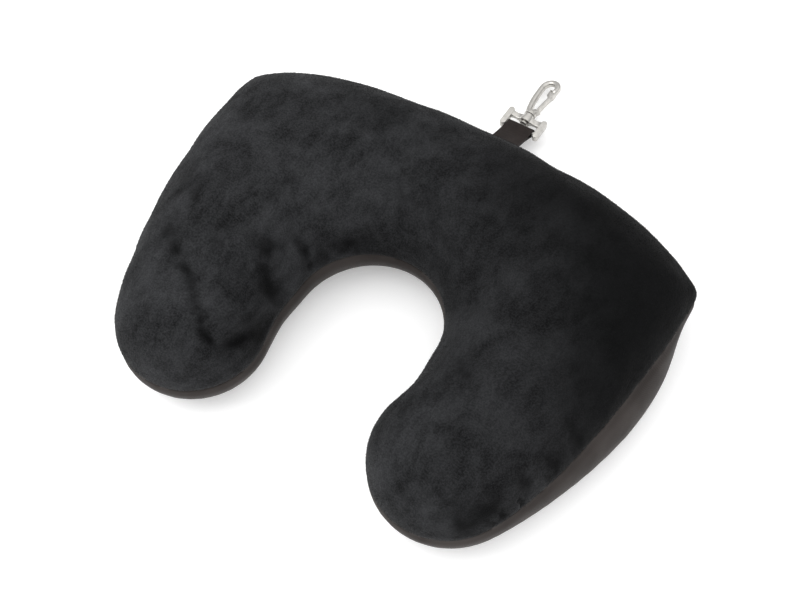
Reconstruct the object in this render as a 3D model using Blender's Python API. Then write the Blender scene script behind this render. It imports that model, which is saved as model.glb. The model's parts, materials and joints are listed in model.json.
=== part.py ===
"""U-shaped travel pillow with a webbing tab and a swivel snap hook.

A plush top panel and a knit underside panel are sewn together along one seam.
Inside them an inner bag holds the bead fill.  A folded webbing tab is sewn into
the middle of the back seam and carries a swivel bracket, a snap hook and its gate.

Lengths are in metres and +Z is up.  +X runs along the back edge and +Y points
from the neck opening towards the tab.  The origin ends up under the middle of
the whole object, on the surface that the pillow lies on.
"""

import math

import bmesh
import bpy
from mathutils import Vector

MM = 0.001

# Seam outline, seen from above.  This is the right half, and the left half mirrors it.
BACK_Y = 122 * MM  # the back seam at its middle
CORNER_X = 170 * MM  # back corner
CORNER_Y = 83 * MM
CORNER_ARRIVE = math.radians(-37.5)  # direction of the seam as it reaches the corner
CORNER_LEAVE = math.radians(-81)  # and as it leaves it
BACK_PULL = 73 * MM  # curve handles of the back seam
CORNER_PULL = 55 * MM
SIDE_PULL = 42 * MM  # curve handles of the outer side
LOBE_PULL = 57 * MM
LOBE_X = 94.7 * MM  # centre of a lobe's round end
LOBE_Y = -92.7 * MM
LOBE_RADIUS = 49.8 * MM
LOBE_OUTER_ANGLE = math.radians(-30)
LOBE_INNER_ANGLE = math.radians(-192.5)
LOBE_INNER_PULL = 31 * MM  # curve handles between a lobe and the neck opening
NECK_PULL = 18.5 * MM
NECK_Y = -36.7 * MM  # centre of the neck opening's round end
NECK_RADIUS = 49 * MM

# Heights.
TOP_HEIGHT = 80 * MM
SEAM_HEIGHT = 30 * MM  # at the neck and the lobes
BACK_SEAM_HEIGHT = 25 * MM  # along the back edge
SEAM_RISE = 110 * MM  # distance from the back over which the seam climbs
SIDE_RISE = 12 * MM  # further height of the seam at the middle of each outer side
CROWN_POWER = 2.15  # fullness of the top panel's crown

# Underside panel.
WALL_BULGE = 0.5 * MM
SIDE_BULGE = 14 * MM  # further bulge at the middle of each outer side
SIDE_X = 167 * MM  # middle of an outer side
SIDE_Y = -6 * MM
SIDE_REACH = 88 * MM  # how far the fuller part of a side reaches
BASE_INSET = 33 * MM
CORNER_INSET = 12 * MM  # further inset of the base at the back corners
CORNER_REACH = 34 * MM  # how far the pinch of a corner reaches

# Cloth and seams.
PLUSH_THICKNESS = 3.0 * MM
KNIT_THICKNESS = 1.6 * MM
LINER_THICKNESS = 0.6 * MM
SEAM_ALLOWANCE = 8 * MM
SEAM_GAP = 0.3 * MM
CLEARANCE = 0.3 * MM
LAYER_GAP = 0.6 * MM
FILL_GAP = 0.6 * MM  # between the inner bag and the beads, as one body
LINER_SIDE_GAP = 1.2 * MM
LINER_BULGE = 2.5 * MM

# Webbing tab.
WEBBING_WIDTH = 20 * MM
WEBBING_THICKNESS = 1.2 * MM
LIP_RUN = 4 * MM  # over which the seam closes again beside the tab
TAB_LENGTH = 38 * MM  # seam hinge to bracket bar
TAB_SLOPE = math.radians(24)
SPLAY = 9 * MM  # the two layers part this far from the bar
EYE_OVERHANG = 2 * MM  # of the shape that opens the loop, past the webbing's edges

# Swivel bracket.
BAR_RADIUS = 1.6 * MM
RAIL_WIDTH = 4.2 * MM
RAIL_DEPTH = 4.6 * MM
RAIL_LOW = -1.7 * MM  # centres of a rail's round ends, from the bar
RAIL_HIGH = 11.1 * MM
RAIL_SIDE_GAP = 0.9 * MM  # between the webbing's edge and a rail
CROSSBAR_LOW = 6.3 * MM
CROSSBAR_HIGH = 11.6 * MM
CROSSBAR_DEPTH = 4.2 * MM
SCOOP_RADIUS = 7.0 * MM
SCOOP_DEPTH = 0.8 * MM
BOSS_RADIUS = 4.1 * MM
BOSS_TOP = 12.8 * MM
RAIL_ROUNDING = 0.7 * MM
CROSSBAR_ROUNDING = 0.6 * MM
HOOK_SLOPE = math.radians(4.5)

# Snap hook.
STEM_RADIUS = 1.6 * MM
HEAD_RADIUS = 2.7 * MM
HEAD_HEIGHT = 1.6 * MM
HEAD_CHAMFER = 0.45 * MM
COLLAR_RADIUS = 4.3 * MM
COLLAR_HEIGHT = 2.2 * MM
COLLAR_CHAMFER = 0.5 * MM
ROOT_RADIUS = 3.1 * MM  # of the taper from the collar into the loop
ROOT_TIP_RADIUS = 1.9 * MM
ROOT_STEP = 1.2 * MM  # height of each of the taper's two steps
LOOP_HALF_WIDTH = 6.0 * MM  # to the middle of the band
LOOP_TOP = 43 * MM  # centre of the loop's round end, from the bar
SPINE_START = -1.5 * MM  # where the band leaves the collar, across the hook
SPINE_LEAN = -4.2 * MM  # curve handle at the collar: across, and along
SPINE_LOW_PULL = 6 * MM
SPINE_HIGH_PULL = 15 * MM  # curve handle below the loop's round end
BAND_THICKNESS = 4.4 * MM
NOSE_THICKNESS = 3.5 * MM
NOSE_SHARE = 0.3  # part of the band over which it thins to the nose
BAND_DEPTH = 4.6 * MM
BAND_CHAMFER = 0.3  # share of the band's half section
NOSE_LENGTH = 4.2 * MM
NOSE_LEAN = 0.3 * MM
HOOK_TURN = math.radians(-18)  # turned about the stem, with the gate's side up

# Gate tongue.
GATE_PIVOT_X = 3.6 * MM
GATE_PIVOT_Y = 20.0 * MM
GATE_ARM = 1.9 * MM
GATE_HEAD_LENGTH = 4.6 * MM
GATE_LIP = 1.3 * MM
GATE_LIP_LENGTH = 2.2 * MM
GATE_DEPTH = 4.0 * MM
GATE_ROUNDING = 0.3 * MM
GATE_SHOULDER = 0.9 * MM  # step from the arm out to the head
GATE_SHOULDER_DROP = 0.8 * MM
GATE_CUP = (math.radians(200), math.radians(350))  # of the stub, round the tongue's root
STUB_ROUNDING = 0.4 * MM
STUB_OUTER = 0.9 * MM  # the stub's outer corner, past the cup
STUB_OUTER_DROP = 1.6 * MM
STUB_INNER_X = 0.3 * MM
STUB_INNER_DROP = 1.8 * MM
STUB_FOOT = (-1.0 * MM, 2.6 * MM)  # the stub's foot on the collar

# Mesh density.
BACK_STEPS = 7
SIDE_STEPS = 9
LOBE_STEPS = 10
CROWN_STOPS = (0.0, 0.05, 0.16, 0.34, 0.62)
WALL_ANGLES = (0, 22, 45, 68, 90)
INNER_WALL_ANGLES = (0, 30, 60, 90)
CURVE_STEPS = 60
NECK_ARC_STEPS = 40
ROUND_STEPS = 24
FOLD_STEPS = 14
HALF_ROUND_STEPS = 8
SPINE_STEPS = 10
LOOP_STEPS = 12
MERGE_DISTANCE = 0.001 * MM
SMOOTH_ANGLE = math.radians(35)

# Colours, roughness and metallic value of each material.
FINISHES = {
    "plush": ((0.018, 0.019, 0.021), 0.95, 0.0),
    "knit": ((0.032, 0.027, 0.025), 0.85, 0.0),
    "liner": ((0.78, 0.78, 0.76), 0.8, 0.0),
    "beads": ((0.9, 0.9, 0.9), 0.7, 0.0),
    "webbing": ((0.036, 0.030, 0.028), 0.7, 0.0),
    "satin_metal": ((0.60, 0.58, 0.55), 0.35, 0.85),
}


# ---------------------------------------------------------------- curves


def bezier(start, start_handle, end_handle, end, count):
    """Points along one cubic curve in the plan."""
    points = []
    for step in range(count + 1):
        t = step / count
        s = 1 - t
        point = start * s**3 + start_handle * (3 * s * s * t)
        points.append(point + end_handle * (3 * s * t * t) + end * t**3)
    return points


def arc(centre, radius, first, last, count):
    """Points along an arc, from one angle to another."""
    points = []
    for step in range(count + 1):
        angle = first + (last - first) * step / count
        points.append(centre + Vector((math.cos(angle), math.sin(angle))) * radius)
    return points


def heading(angle):
    return Vector((math.cos(angle), math.sin(angle)))


def clockwise(angle):
    """Direction of travel at an angle of a circle that is followed clockwise."""
    return Vector((math.sin(angle), -math.cos(angle)))


def lengths(points):
    """Distance of each point along its polyline."""
    total = [0.0]
    for before, after in zip(points, points[1:]):
        total.append(total[-1] + (after - before).length)
    return total


def at_fractions(points, fractions):
    """Points at the given fractions of a polyline's length."""
    total = lengths(points)
    found = []
    for fraction in fractions:
        target = fraction * total[-1]
        index = 0
        while index < len(points) - 2 and total[index + 1] < target:
            index += 1
        span = total[index + 1] - total[index]
        found.append(points[index].lerp(points[index + 1], (target - total[index]) / span))
    return found


def smooth(value):
    value = min(1.0, max(0.0, value))
    return value * value * (3 - 2 * value)


# ---------------------------------------------------------------- pillow outline


def back_and_side():
    """The outer stretch of the seam, from the middle of the back to the lobe, in fine points."""
    corner = Vector((CORNER_X, CORNER_Y))
    back = bezier(
        Vector((0, BACK_Y)),
        Vector((BACK_PULL, BACK_Y)),
        corner - heading(CORNER_ARRIVE) * CORNER_PULL,
        corner,
        CURVE_STEPS,
    )
    lobe = Vector((LOBE_X, LOBE_Y)) + heading(LOBE_OUTER_ANGLE) * LOBE_RADIUS
    side = bezier(
        corner,
        corner + heading(CORNER_LEAVE) * SIDE_PULL,
        lobe - clockwise(LOBE_OUTER_ANGLE) * LOBE_PULL,
        lobe,
        CURVE_STEPS,
    )
    return back, side


def neck_line():
    """The inner stretch of the seam, from the top of the neck opening to the lobe."""
    centre = Vector((0, NECK_Y))
    neck = arc(centre, NECK_RADIUS, math.pi / 2, 0, NECK_ARC_STEPS)
    lobe = Vector((LOBE_X, LOBE_Y)) + heading(LOBE_INNER_ANGLE) * LOBE_RADIUS
    inner = bezier(
        neck[-1],
        neck[-1] - Vector((0, NECK_PULL)),
        lobe + clockwise(LOBE_INNER_ANGLE) * LOBE_INNER_PULL,
        lobe,
        CURVE_STEPS,
    )
    return neck + inner[1:]


def station_fractions(back, side):
    """Where the sections stand along the outer seam: closer together beside the tab."""
    back_length = lengths(back)[-1]
    total = back_length + lengths(side)[-1]
    lip = WEBBING_WIDTH / 2 + 2 * CLEARANCE
    places = [0.0, lip, lip + LIP_RUN]
    run = back_length - places[-1]
    places += [places[2] + run * (step + 1) / BACK_STEPS for step in range(BACK_STEPS)]
    run = total - back_length
    places += [back_length + run * (step + 1) / SIDE_STEPS for step in range(SIDE_STEPS)]
    return [place / total for place in places]


def half_stations():
    """Seam points of the right half, each with the point of the spine that faces it."""
    back, side = back_and_side()
    fractions = station_fractions(back, side)
    outer = at_fractions(back + side[1:], fractions)
    inner = at_fractions(neck_line(), fractions)
    spine = [(a + b) / 2 for a, b in zip(outer, inner)]
    lobe = arc(
        Vector((LOBE_X, LOBE_Y)), LOBE_RADIUS, LOBE_OUTER_ANGLE, LOBE_INNER_ANGLE, LOBE_STEPS
    )[1:-1]
    edge = outer + lobe + inner[::-1]
    facing = spine + [spine[-1]] * len(lobe) + spine[::-1]
    return list(zip(edge, facing))


def stations():
    """Seam points right round the pillow, clockwise from the middle of the back."""
    right = half_stations()
    left = [(Vector((-a.x, a.y)), Vector((-b.x, b.y))) for a, b in right[-2:0:-1]]
    return right + left


def side_swell(edge):
    """One at the middle of an outer side, falling to nothing round the seam."""
    distance = (Vector((abs(edge.x), edge.y)) - Vector((SIDE_X, SIDE_Y))).length
    return math.exp(-((distance / SIDE_REACH) ** 2))


def seam_height(edge):
    climb = smooth((BACK_Y - edge.y) / SEAM_RISE)
    height = BACK_SEAM_HEIGHT + (SEAM_HEIGHT - BACK_SEAM_HEIGHT) * climb
    return height + SIDE_RISE * side_swell(edge)


def lip_height(edge):
    """Half of the seam's opening: closed all round, and parted where the tab is sewn in."""
    closed = SEAM_GAP / 2
    if edge.y < NECK_Y + NECK_RADIUS + SEAM_ALLOWANCE:
        return closed
    parted = WEBBING_THICKNESS + CLEARANCE
    beside = (abs(edge.x) - WEBBING_WIDTH / 2 - 2 * CLEARANCE) / LIP_RUN
    return parted + (closed - parted) * smooth(beside)


def corner_pinch(edge):
    """One at a back corner's tip, falling to nothing along the seam."""
    distance = (Vector((abs(edge.x), edge.y)) - Vector((CORNER_X, CORNER_Y))).length
    return math.exp(-((distance / CORNER_REACH) ** 2))


def crown(fraction):
    """Rise of the crown, from the seam (0) to the spine (1)."""
    return (1 - (1 - fraction) ** CROWN_POWER) ** 0.5


# ---------------------------------------------------------------- pillow surfaces


def point_in(edge, spine, distance, height):
    """A point that lies a distance in from the seam, towards the spine."""
    place = edge + (spine - edge).normalized() * distance
    return Vector((place.x, place.y, height))


def crown_rings(inset, seam_offset, top):
    """Rings of a crown, from its edge to the ring before the spine, and the spine."""
    rings = []
    for stop in CROWN_STOPS:
        ring = []
        for edge, spine in stations():
            width = (spine - edge).length - inset
            low = seam_height(edge) + seam_offset(edge)
            height = low + (top - low) * crown(stop)
            ring.append(point_in(edge, spine, inset + width * stop, height))
        rings.append(ring)
    rings.append([Vector((spine.x, spine.y, top)) for _, spine in stations()])
    return rings


def wall_rings(inset, seam_offset, bottom, bulge, angles):
    """Rings of a bulging wall and its flat base, from the seam edge down to the spine."""
    rings = []
    for angle in (math.radians(value) for value in angles):
        ring = []
        for edge, spine in stations():
            pinch = corner_pinch(edge)
            high = seam_height(edge) - seam_offset(edge)
            out = (bulge + SIDE_BULGE * side_swell(edge)) * (1 - pinch)
            base = BASE_INSET + CORNER_INSET * pinch
            distance = inset + base * (1 - math.cos(angle)) - out * math.sin(2 * angle)
            height = high + (bottom - high) * math.sin(angle)
            ring.append(point_in(edge, spine, distance, height))
        rings.append(ring)
    rings.append([Vector((spine.x, spine.y, bottom)) for _, spine in stations()])
    return rings


def flange_rings(start, end):
    """The seam allowance: out and back, at two heights above or below the seam."""
    rings = []
    for distance, offset in (start, end):
        ring = []
        for edge, spine in stations():
            ring.append(point_in(edge, spine, distance, seam_height(edge) + offset(edge)))
        rings.append(ring)
    return rings


def skin(name, rings, finish):
    """One closed body through rings that start and end on the spine."""
    mesh = bmesh.new()
    loops = [[mesh.verts.new(point) for point in ring] for ring in rings]
    for low, high in zip(loops, loops[1:]):
        for index in range(len(low)):
            after = (index + 1) % len(low)
            mesh.faces.new((low[index], low[after], high[after], high[index]))
    bmesh.ops.remove_doubles(mesh, verts=mesh.verts, dist=MERGE_DISTANCE)
    bmesh.ops.recalc_face_normals(mesh, faces=mesh.faces)
    return add_mesh(name, mesh, finish)


def build_top_panel():
    """Plush top panel with its seam allowance turned in."""
    thick = PLUSH_THICKNESS
    outer = crown_rings(0, lip_height, TOP_HEIGHT)
    flange = flange_rings(
        (SEAM_ALLOWANCE, lip_height), (SEAM_ALLOWANCE, lambda edge: lip_height(edge) + thick)
    )
    inner = crown_rings(thick, lambda edge: lip_height(edge) + thick, TOP_HEIGHT - thick)
    return skin("plush_top_panel", outer[::-1] + flange + inner, "plush")


def build_underside_panel():
    """Knit underside panel: flat base, bulging side wall and turned-in seam allowance."""
    thick = KNIT_THICKNESS
    outer = wall_rings(0, lip_height, 0.0, WALL_BULGE, WALL_ANGLES)
    flange = flange_rings(
        (SEAM_ALLOWANCE, lambda edge: -lip_height(edge)),
        (SEAM_ALLOWANCE, lambda edge: -lip_height(edge) - thick),
    )
    inner = wall_rings(
        thick, lambda edge: lip_height(edge) + thick, thick, WALL_BULGE, INNER_WALL_ANGLES
    )
    return skin("underside_panel", outer[::-1] + flange + inner, "knit")


def half_gap(edge):
    return SEAM_GAP / 2


def build_liner():
    """The two panels of the inner bag that holds the beads."""
    inset = SEAM_ALLOWANCE + LINER_SIDE_GAP
    thick = LINER_THICKNESS
    top = TOP_HEIGHT - PLUSH_THICKNESS - LAYER_GAP
    outer = crown_rings(inset, half_gap, top)
    inner = crown_rings(inset + thick, half_gap, top - thick)
    skin("liner_top_panel", outer[::-1] + inner, "liner")
    low = KNIT_THICKNESS + CLEARANCE
    outer = wall_rings(inset, half_gap, low, LINER_BULGE, INNER_WALL_ANGLES)
    inner = wall_rings(inset + thick, half_gap, low + thick, LINER_BULGE, INNER_WALL_ANGLES)
    skin("liner_underside_panel", outer[::-1] + inner, "liner")


def build_fill():
    """The bead fill, as one body that fills the inner bag."""
    inset = SEAM_ALLOWANCE + LINER_SIDE_GAP + LINER_THICKNESS + FILL_GAP
    top = TOP_HEIGHT - PLUSH_THICKNESS - LAYER_GAP - LINER_THICKNESS - FILL_GAP
    low = KNIT_THICKNESS + CLEARANCE + LINER_THICKNESS + FILL_GAP
    above = crown_rings(inset, lambda edge: 0.0, top)
    below = wall_rings(inset, lambda edge: 0.0, low, LINER_BULGE, INNER_WALL_ANGLES)
    return skin("bead_fill", above[::-1] + below[1:], "beads")


# ---------------------------------------------------------------- objects


def material(finish):
    found = bpy.data.materials.get(finish)
    if found:
        return found
    colour, roughness, metallic = FINISHES[finish]
    made = bpy.data.materials.new(finish)
    made.use_nodes = True
    shader = made.node_tree.nodes["Principled BSDF"]
    shader.inputs["Base Color"].default_value = (*colour, 1.0)
    shader.inputs["Roughness"].default_value = roughness
    shader.inputs["Metallic"].default_value = metallic
    made.diffuse_color = (*colour, 1.0)
    return made


def add_mesh(name, mesh, finish):
    """Turn a bmesh into a named object with its own material."""
    data = bpy.data.meshes.new(name)
    mesh.to_mesh(data)
    mesh.free()
    data.shade_smooth()
    data.set_sharp_from_angle(angle=SMOOTH_ANGLE)
    data.materials.append(material(finish))
    made = bpy.data.objects.new(name, data)
    bpy.context.scene.collection.objects.link(made)
    return made


def add_empty(name, parent, location, rotation=(0, 0, 0)):
    made = bpy.data.objects.new(name, None)
    bpy.context.scene.collection.objects.link(made)
    made.parent = parent
    made.location = location
    made.rotation_euler = rotation
    return made


def as_guide(piece):
    """Mark a shape that only adds to or cuts another one."""
    piece.hide_render = True
    piece.display_type = "WIRE"
    return piece


def combine(target, guide, operation):
    guide.parent = target.parent
    as_guide(guide)
    step = target.modifiers.new(guide.name, "BOOLEAN")
    step.operation = operation
    step.solver = "EXACT"
    step.object = guide
    return step


def prism(name, outline, low, high, finish):
    """Extrude a closed outline in the plan from one height to another."""
    mesh = bmesh.new()
    face = mesh.faces.new([mesh.verts.new((point.x, point.y, low)) for point in outline])
    moved = bmesh.ops.extrude_face_region(mesh, geom=[face])
    top = [item for item in moved["geom"] if isinstance(item, bmesh.types.BMVert)]
    bmesh.ops.translate(mesh, verts=top, vec=(0, 0, high - low))
    bmesh.ops.recalc_face_normals(mesh, faces=mesh.faces)
    return add_mesh(name, mesh, finish)


def box_outline(half_width, low, high):
    corners = ((-half_width, low), (half_width, low), (half_width, high), (-half_width, high))
    return [Vector(corner) for corner in corners]


def turned(name, profile, finish):
    """Turn a profile of (radius, distance) pairs about the Y axis."""
    mesh = bmesh.new()
    points = [mesh.verts.new((radius, along, 0)) for radius, along in profile]
    edges = [mesh.edges.new(pair) for pair in zip(points, points[1:])]
    bmesh.ops.spin(
        mesh,
        geom=points + edges,
        cent=(0, 0, 0),
        axis=(0, 1, 0),
        angle=2 * math.pi,
        steps=ROUND_STEPS,
        use_merge=True,
        use_duplicate=False,
    )
    bmesh.ops.remove_doubles(mesh, verts=mesh.verts, dist=MERGE_DISTANCE)
    bmesh.ops.recalc_face_normals(mesh, faces=mesh.faces)
    return add_mesh(name, mesh, finish)


def band(name, path, thicknesses, depth, finish):
    """Sweep a rounded flat section along a path in the plan, with closed ends."""
    mesh = bmesh.new()
    flat = 1 - BAND_CHAMFER
    section = ((-1, -flat), (-flat, -1), (flat, -1), (1, -flat))
    section += tuple((-across, -up) for across, up in section)
    loops = []
    for index, (point, thick) in enumerate(zip(path, thicknesses)):
        before = path[max(0, index - 1)]
        after = path[min(len(path) - 1, index + 1)]
        along = (after - before).normalized()
        side = Vector((-along.y, along.x))
        loop = []
        for across, up in section:
            place = point + side * (across * thick / 2)
            loop.append(mesh.verts.new((place.x, place.y, up * depth / 2)))
        loops.append(loop)
    for low, high in zip(loops, loops[1:]):
        for index in range(len(low)):
            after = (index + 1) % len(low)
            mesh.faces.new((low[index], low[after], high[after], high[index]))
    mesh.faces.new(loops[0])
    mesh.faces.new(loops[-1][::-1])
    bmesh.ops.recalc_face_normals(mesh, faces=mesh.faces)
    return add_mesh(name, mesh, finish)


# ---------------------------------------------------------------- webbing tab


def build_tail():
    """The sewn-in ends of the webbing, between the two seam allowances."""
    return prism(
        "webbing_tail",
        box_outline(WEBBING_WIDTH / 2, BACK_Y - SEAM_ALLOWANCE, BACK_Y),
        BACK_SEAM_HEIGHT - WEBBING_THICKNESS,
        BACK_SEAM_HEIGHT + WEBBING_THICKNESS,
        "webbing",
    )


def tab_contours():
    """Outer and inner contour of the folded webbing, seen from its edge."""
    bore = BAR_RADIUS + CLEARANCE
    wrap = bore + WEBBING_THICKNESS
    bar = Vector((TAB_LENGTH, 0))
    lean = math.asin((wrap - WEBBING_THICKNESS) / SPLAY)
    turn = math.pi / 2 + lean
    outer = arc(Vector((0, 0)), WEBBING_THICKNESS, 1.5 * math.pi, math.pi / 2, HALF_ROUND_STEPS)
    outer.append(Vector((TAB_LENGTH - SPLAY, WEBBING_THICKNESS)))
    outer += arc(bar, wrap, turn, -turn, FOLD_STEPS)
    outer.append(Vector((TAB_LENGTH - SPLAY, -WEBBING_THICKNESS)))
    apex = bar - Vector((bore / math.sin(lean), 0))
    inner = [apex] + arc(bar, bore, turn, -turn, FOLD_STEPS)
    return outer, inner


def build_tab():
    """The webbing loop that holds the bracket's bar."""
    outer, inner = tab_contours()
    half = WEBBING_WIDTH / 2
    made = edge_prism("webbing_tab", outer, half, "webbing")
    eye = edge_prism("tab_eye", inner, half + EYE_OVERHANG, "webbing")
    combine(made, eye, "DIFFERENCE")
    return made, eye


def edge_prism(name, outline, half_width, finish):
    """Extrude an outline in the Y-Z plane to both sides."""
    mesh = bmesh.new()
    face = mesh.faces.new([mesh.verts.new((-half_width, point.x, point.y)) for point in outline])
    moved = bmesh.ops.extrude_face_region(mesh, geom=[face])
    far = [item for item in moved["geom"] if isinstance(item, bmesh.types.BMVert)]
    bmesh.ops.translate(mesh, verts=far, vec=(2 * half_width, 0, 0))
    bmesh.ops.recalc_face_normals(mesh, faces=mesh.faces)
    return add_mesh(name, mesh, finish)


# ---------------------------------------------------------------- swivel bracket


def rail_x():
    return WEBBING_WIDTH / 2 + RAIL_SIDE_GAP + RAIL_WIDTH / 2


def rail_outline(side):
    centre = side * rail_x()
    radius = RAIL_WIDTH / 2
    low = arc(Vector((centre, RAIL_LOW)), radius, math.pi, 2 * math.pi, HALF_ROUND_STEPS)
    high = arc(Vector((centre, RAIL_HIGH)), radius, 0, math.pi, HALF_ROUND_STEPS)
    return low + high


def rounded(piece, width):
    bevel = piece.modifiers.new("rounding", "BEVEL")
    bevel.width = width
    bevel.segments = 2
    bevel.limit_method = "ANGLE"
    bevel.angle_limit = math.radians(50)
    return piece


def build_bracket(hinge):
    """H-shaped bracket: two rails, the bar in the tab, and a crossbar with a bored boss."""
    metal = "satin_metal"
    half = RAIL_DEPTH / 2
    bracket = rounded(prism("swivel_bracket", rail_outline(-1), -half, half, metal), RAIL_ROUNDING)
    bracket.parent = hinge
    right = rounded(prism("right_rail", rail_outline(1), -half, half, metal), RAIL_ROUNDING)
    half = CROSSBAR_DEPTH / 2
    outline = box_outline(rail_x(), CROSSBAR_LOW, CROSSBAR_HIGH)
    crossbar = rounded(prism("crossbar", outline, -half, half, metal), CROSSBAR_ROUNDING)
    bar = turned("bar", ((0, -rail_x()), (BAR_RADIUS, -rail_x()), (BAR_RADIUS, rail_x()),
                         (0, rail_x())), metal)
    bar.rotation_euler.z = math.pi / 2
    boss = turned("boss", ((0, CROSSBAR_LOW - CLEARANCE), (BOSS_RADIUS, CROSSBAR_LOW - CLEARANCE),
                           (BOSS_RADIUS, BOSS_TOP), (0, BOSS_TOP)), metal)
    bore_radius = STEM_RADIUS + CLEARANCE
    bore = turned("bore", ((0, 0), (bore_radius, 0), (bore_radius, 2 * BOSS_TOP),
                           (0, 2 * BOSS_TOP)), metal)
    bore.location.y = CROSSBAR_LOW / 2
    for guide in (right, crossbar, bar):
        combine(bracket, guide, "UNION")
    for side in (-1, 1):
        for face in (-1, 1):
            combine(bracket, scoop(side, face), "DIFFERENCE")
    combine(bracket, boss, "UNION")
    combine(bracket, bore, "DIFFERENCE")
    return bracket


def scoop(side, face):
    """A shallow hollow across the crossbar, between the boss and a rail."""
    made = turned(
        f"scoop_{'right' if side > 0 else 'left'}_{'top' if face > 0 else 'under'}",
        ((0, 0), (SCOOP_RADIUS, 0), (SCOOP_RADIUS, 2 * BOSS_TOP), (0, 2 * BOSS_TOP)),
        "satin_metal",
    )
    gap = rail_x() - RAIL_WIDTH / 2
    made.location.x = side * (BOSS_RADIUS + gap) / 2
    made.location.z = face * (CROSSBAR_DEPTH / 2 + SCOOP_RADIUS - SCOOP_DEPTH)
    return made


# ---------------------------------------------------------------- snap hook


def collar_bottom():
    return BOSS_TOP + CLEARANCE


def collar_middle():
    return collar_bottom() + COLLAR_HEIGHT / 2


def loop_path():
    """Middle line of the hook's band, from its root over the top to the nose."""
    start = collar_middle()
    top = Vector((0, LOOP_TOP))
    spine = bezier(
        Vector((SPINE_START, start)),
        Vector((SPINE_LEAN, start + SPINE_LOW_PULL)),
        Vector((-LOOP_HALF_WIDTH, LOOP_TOP - SPINE_HIGH_PULL)),
        Vector((-LOOP_HALF_WIDTH, LOOP_TOP)),
        SPINE_STEPS,
    )
    bend = arc(top, LOOP_HALF_WIDTH, math.pi, 0, LOOP_STEPS)
    nose = Vector((LOOP_HALF_WIDTH - NOSE_LEAN, LOOP_TOP - NOSE_LENGTH))
    return spine + bend[1:] + [bend[-1].lerp(nose, 0.5), nose]


def build_hook(swivel):
    """Stem with its riveted head, collar and open loop."""
    head_low = CROSSBAR_LOW - 2 * CLEARANCE - HEAD_HEIGHT
    head_high = head_low + HEAD_HEIGHT
    low = collar_bottom()
    high = low + COLLAR_HEIGHT
    profile = (
        (0, head_low),
        (HEAD_RADIUS - HEAD_CHAMFER, head_low),
        (HEAD_RADIUS, head_low + HEAD_CHAMFER),
        (HEAD_RADIUS, head_high),
        (STEM_RADIUS, head_high),
        (STEM_RADIUS, low),
        (COLLAR_RADIUS, low),
        (COLLAR_RADIUS, high - COLLAR_CHAMFER),
        (COLLAR_RADIUS - COLLAR_CHAMFER, high),
        (ROOT_RADIUS, high),
        (ROOT_RADIUS, high + ROOT_STEP),
        (ROOT_TIP_RADIUS, high + 2 * ROOT_STEP),
        (0, high + 2 * ROOT_STEP),
    )
    hook = turned("snap_hook", profile, "satin_metal")
    hook.parent = swivel
    path = loop_path()
    thicknesses = []
    for step in range(len(path)):
        thinning = smooth(1 + (step / (len(path) - 1) - 1) / NOSE_SHARE)
        thicknesses.append(BAND_THICKNESS + (NOSE_THICKNESS - BAND_THICKNESS) * thinning)
    loop = band("loop", path, thicknesses, BAND_DEPTH, "satin_metal")
    combine(hook, loop, "UNION")
    root = rounded(prism("gate_root", gate_root_outline(), -GATE_DEPTH / 2, GATE_DEPTH / 2,
                         "satin_metal"), STUB_ROUNDING)
    combine(hook, root, "UNION")
    return hook


def gate_root_outline():
    """The stub that the gate tongue grows from, cupped round the tongue's root."""
    radius = GATE_ARM / 2 + CLEARANCE
    pivot = Vector((GATE_PIVOT_X, GATE_PIVOT_Y))
    cup = arc(pivot, radius, *GATE_CUP, HALF_ROUND_STEPS)
    foot_left, foot_right = STUB_FOOT
    return cup + [
        Vector((GATE_PIVOT_X + radius + STUB_OUTER, GATE_PIVOT_Y - STUB_OUTER_DROP)),
        Vector((foot_right, collar_middle())),
        Vector((foot_left, collar_middle())),
        Vector((STUB_INNER_X, GATE_PIVOT_Y - STUB_INNER_DROP)),
    ]


def gate_outline():
    """The tongue from its root to its stepped head, from the pivot as origin."""
    nose = loop_path()[-1]
    head_top = nose.y - CLEARANCE - GATE_PIVOT_Y
    head_out = nose.x + NOSE_THICKNESS / 2 - GATE_PIVOT_X
    lip_out = nose.x - NOSE_THICKNESS / 2 - CLEARANCE - GATE_PIVOT_X
    head_in = lip_out - GATE_LIP
    head_low = head_top - GATE_HEAD_LENGTH
    arm = GATE_ARM / 2
    root = arc(Vector((0, 0)), arm, math.pi, 2 * math.pi, HALF_ROUND_STEPS)
    return root + [
        Vector((head_out - GATE_SHOULDER, head_low - GATE_SHOULDER_DROP)),
        Vector((head_out, head_low)),
        Vector((head_out, head_top)),
        Vector((lip_out, head_top)),
        Vector((lip_out, head_top + GATE_LIP_LENGTH)),
        Vector((head_in, head_top + GATE_LIP_LENGTH)),
        Vector((head_in, head_low + GATE_SHOULDER_DROP)),
        Vector((head_out - GATE_SHOULDER - GATE_ARM, head_low - GATE_SHOULDER_DROP)),
    ]


def build_gate(swivel):
    """The sprung tongue that closes the hook."""
    half = GATE_DEPTH / 2
    gate = rounded(
        prism("gate_tongue", gate_outline(), -half, half, "satin_metal"), GATE_ROUNDING
    )
    gate.parent = swivel
    gate.location = (GATE_PIVOT_X, GATE_PIVOT_Y, 0)
    return gate


# ---------------------------------------------------------------- assembly


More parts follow.
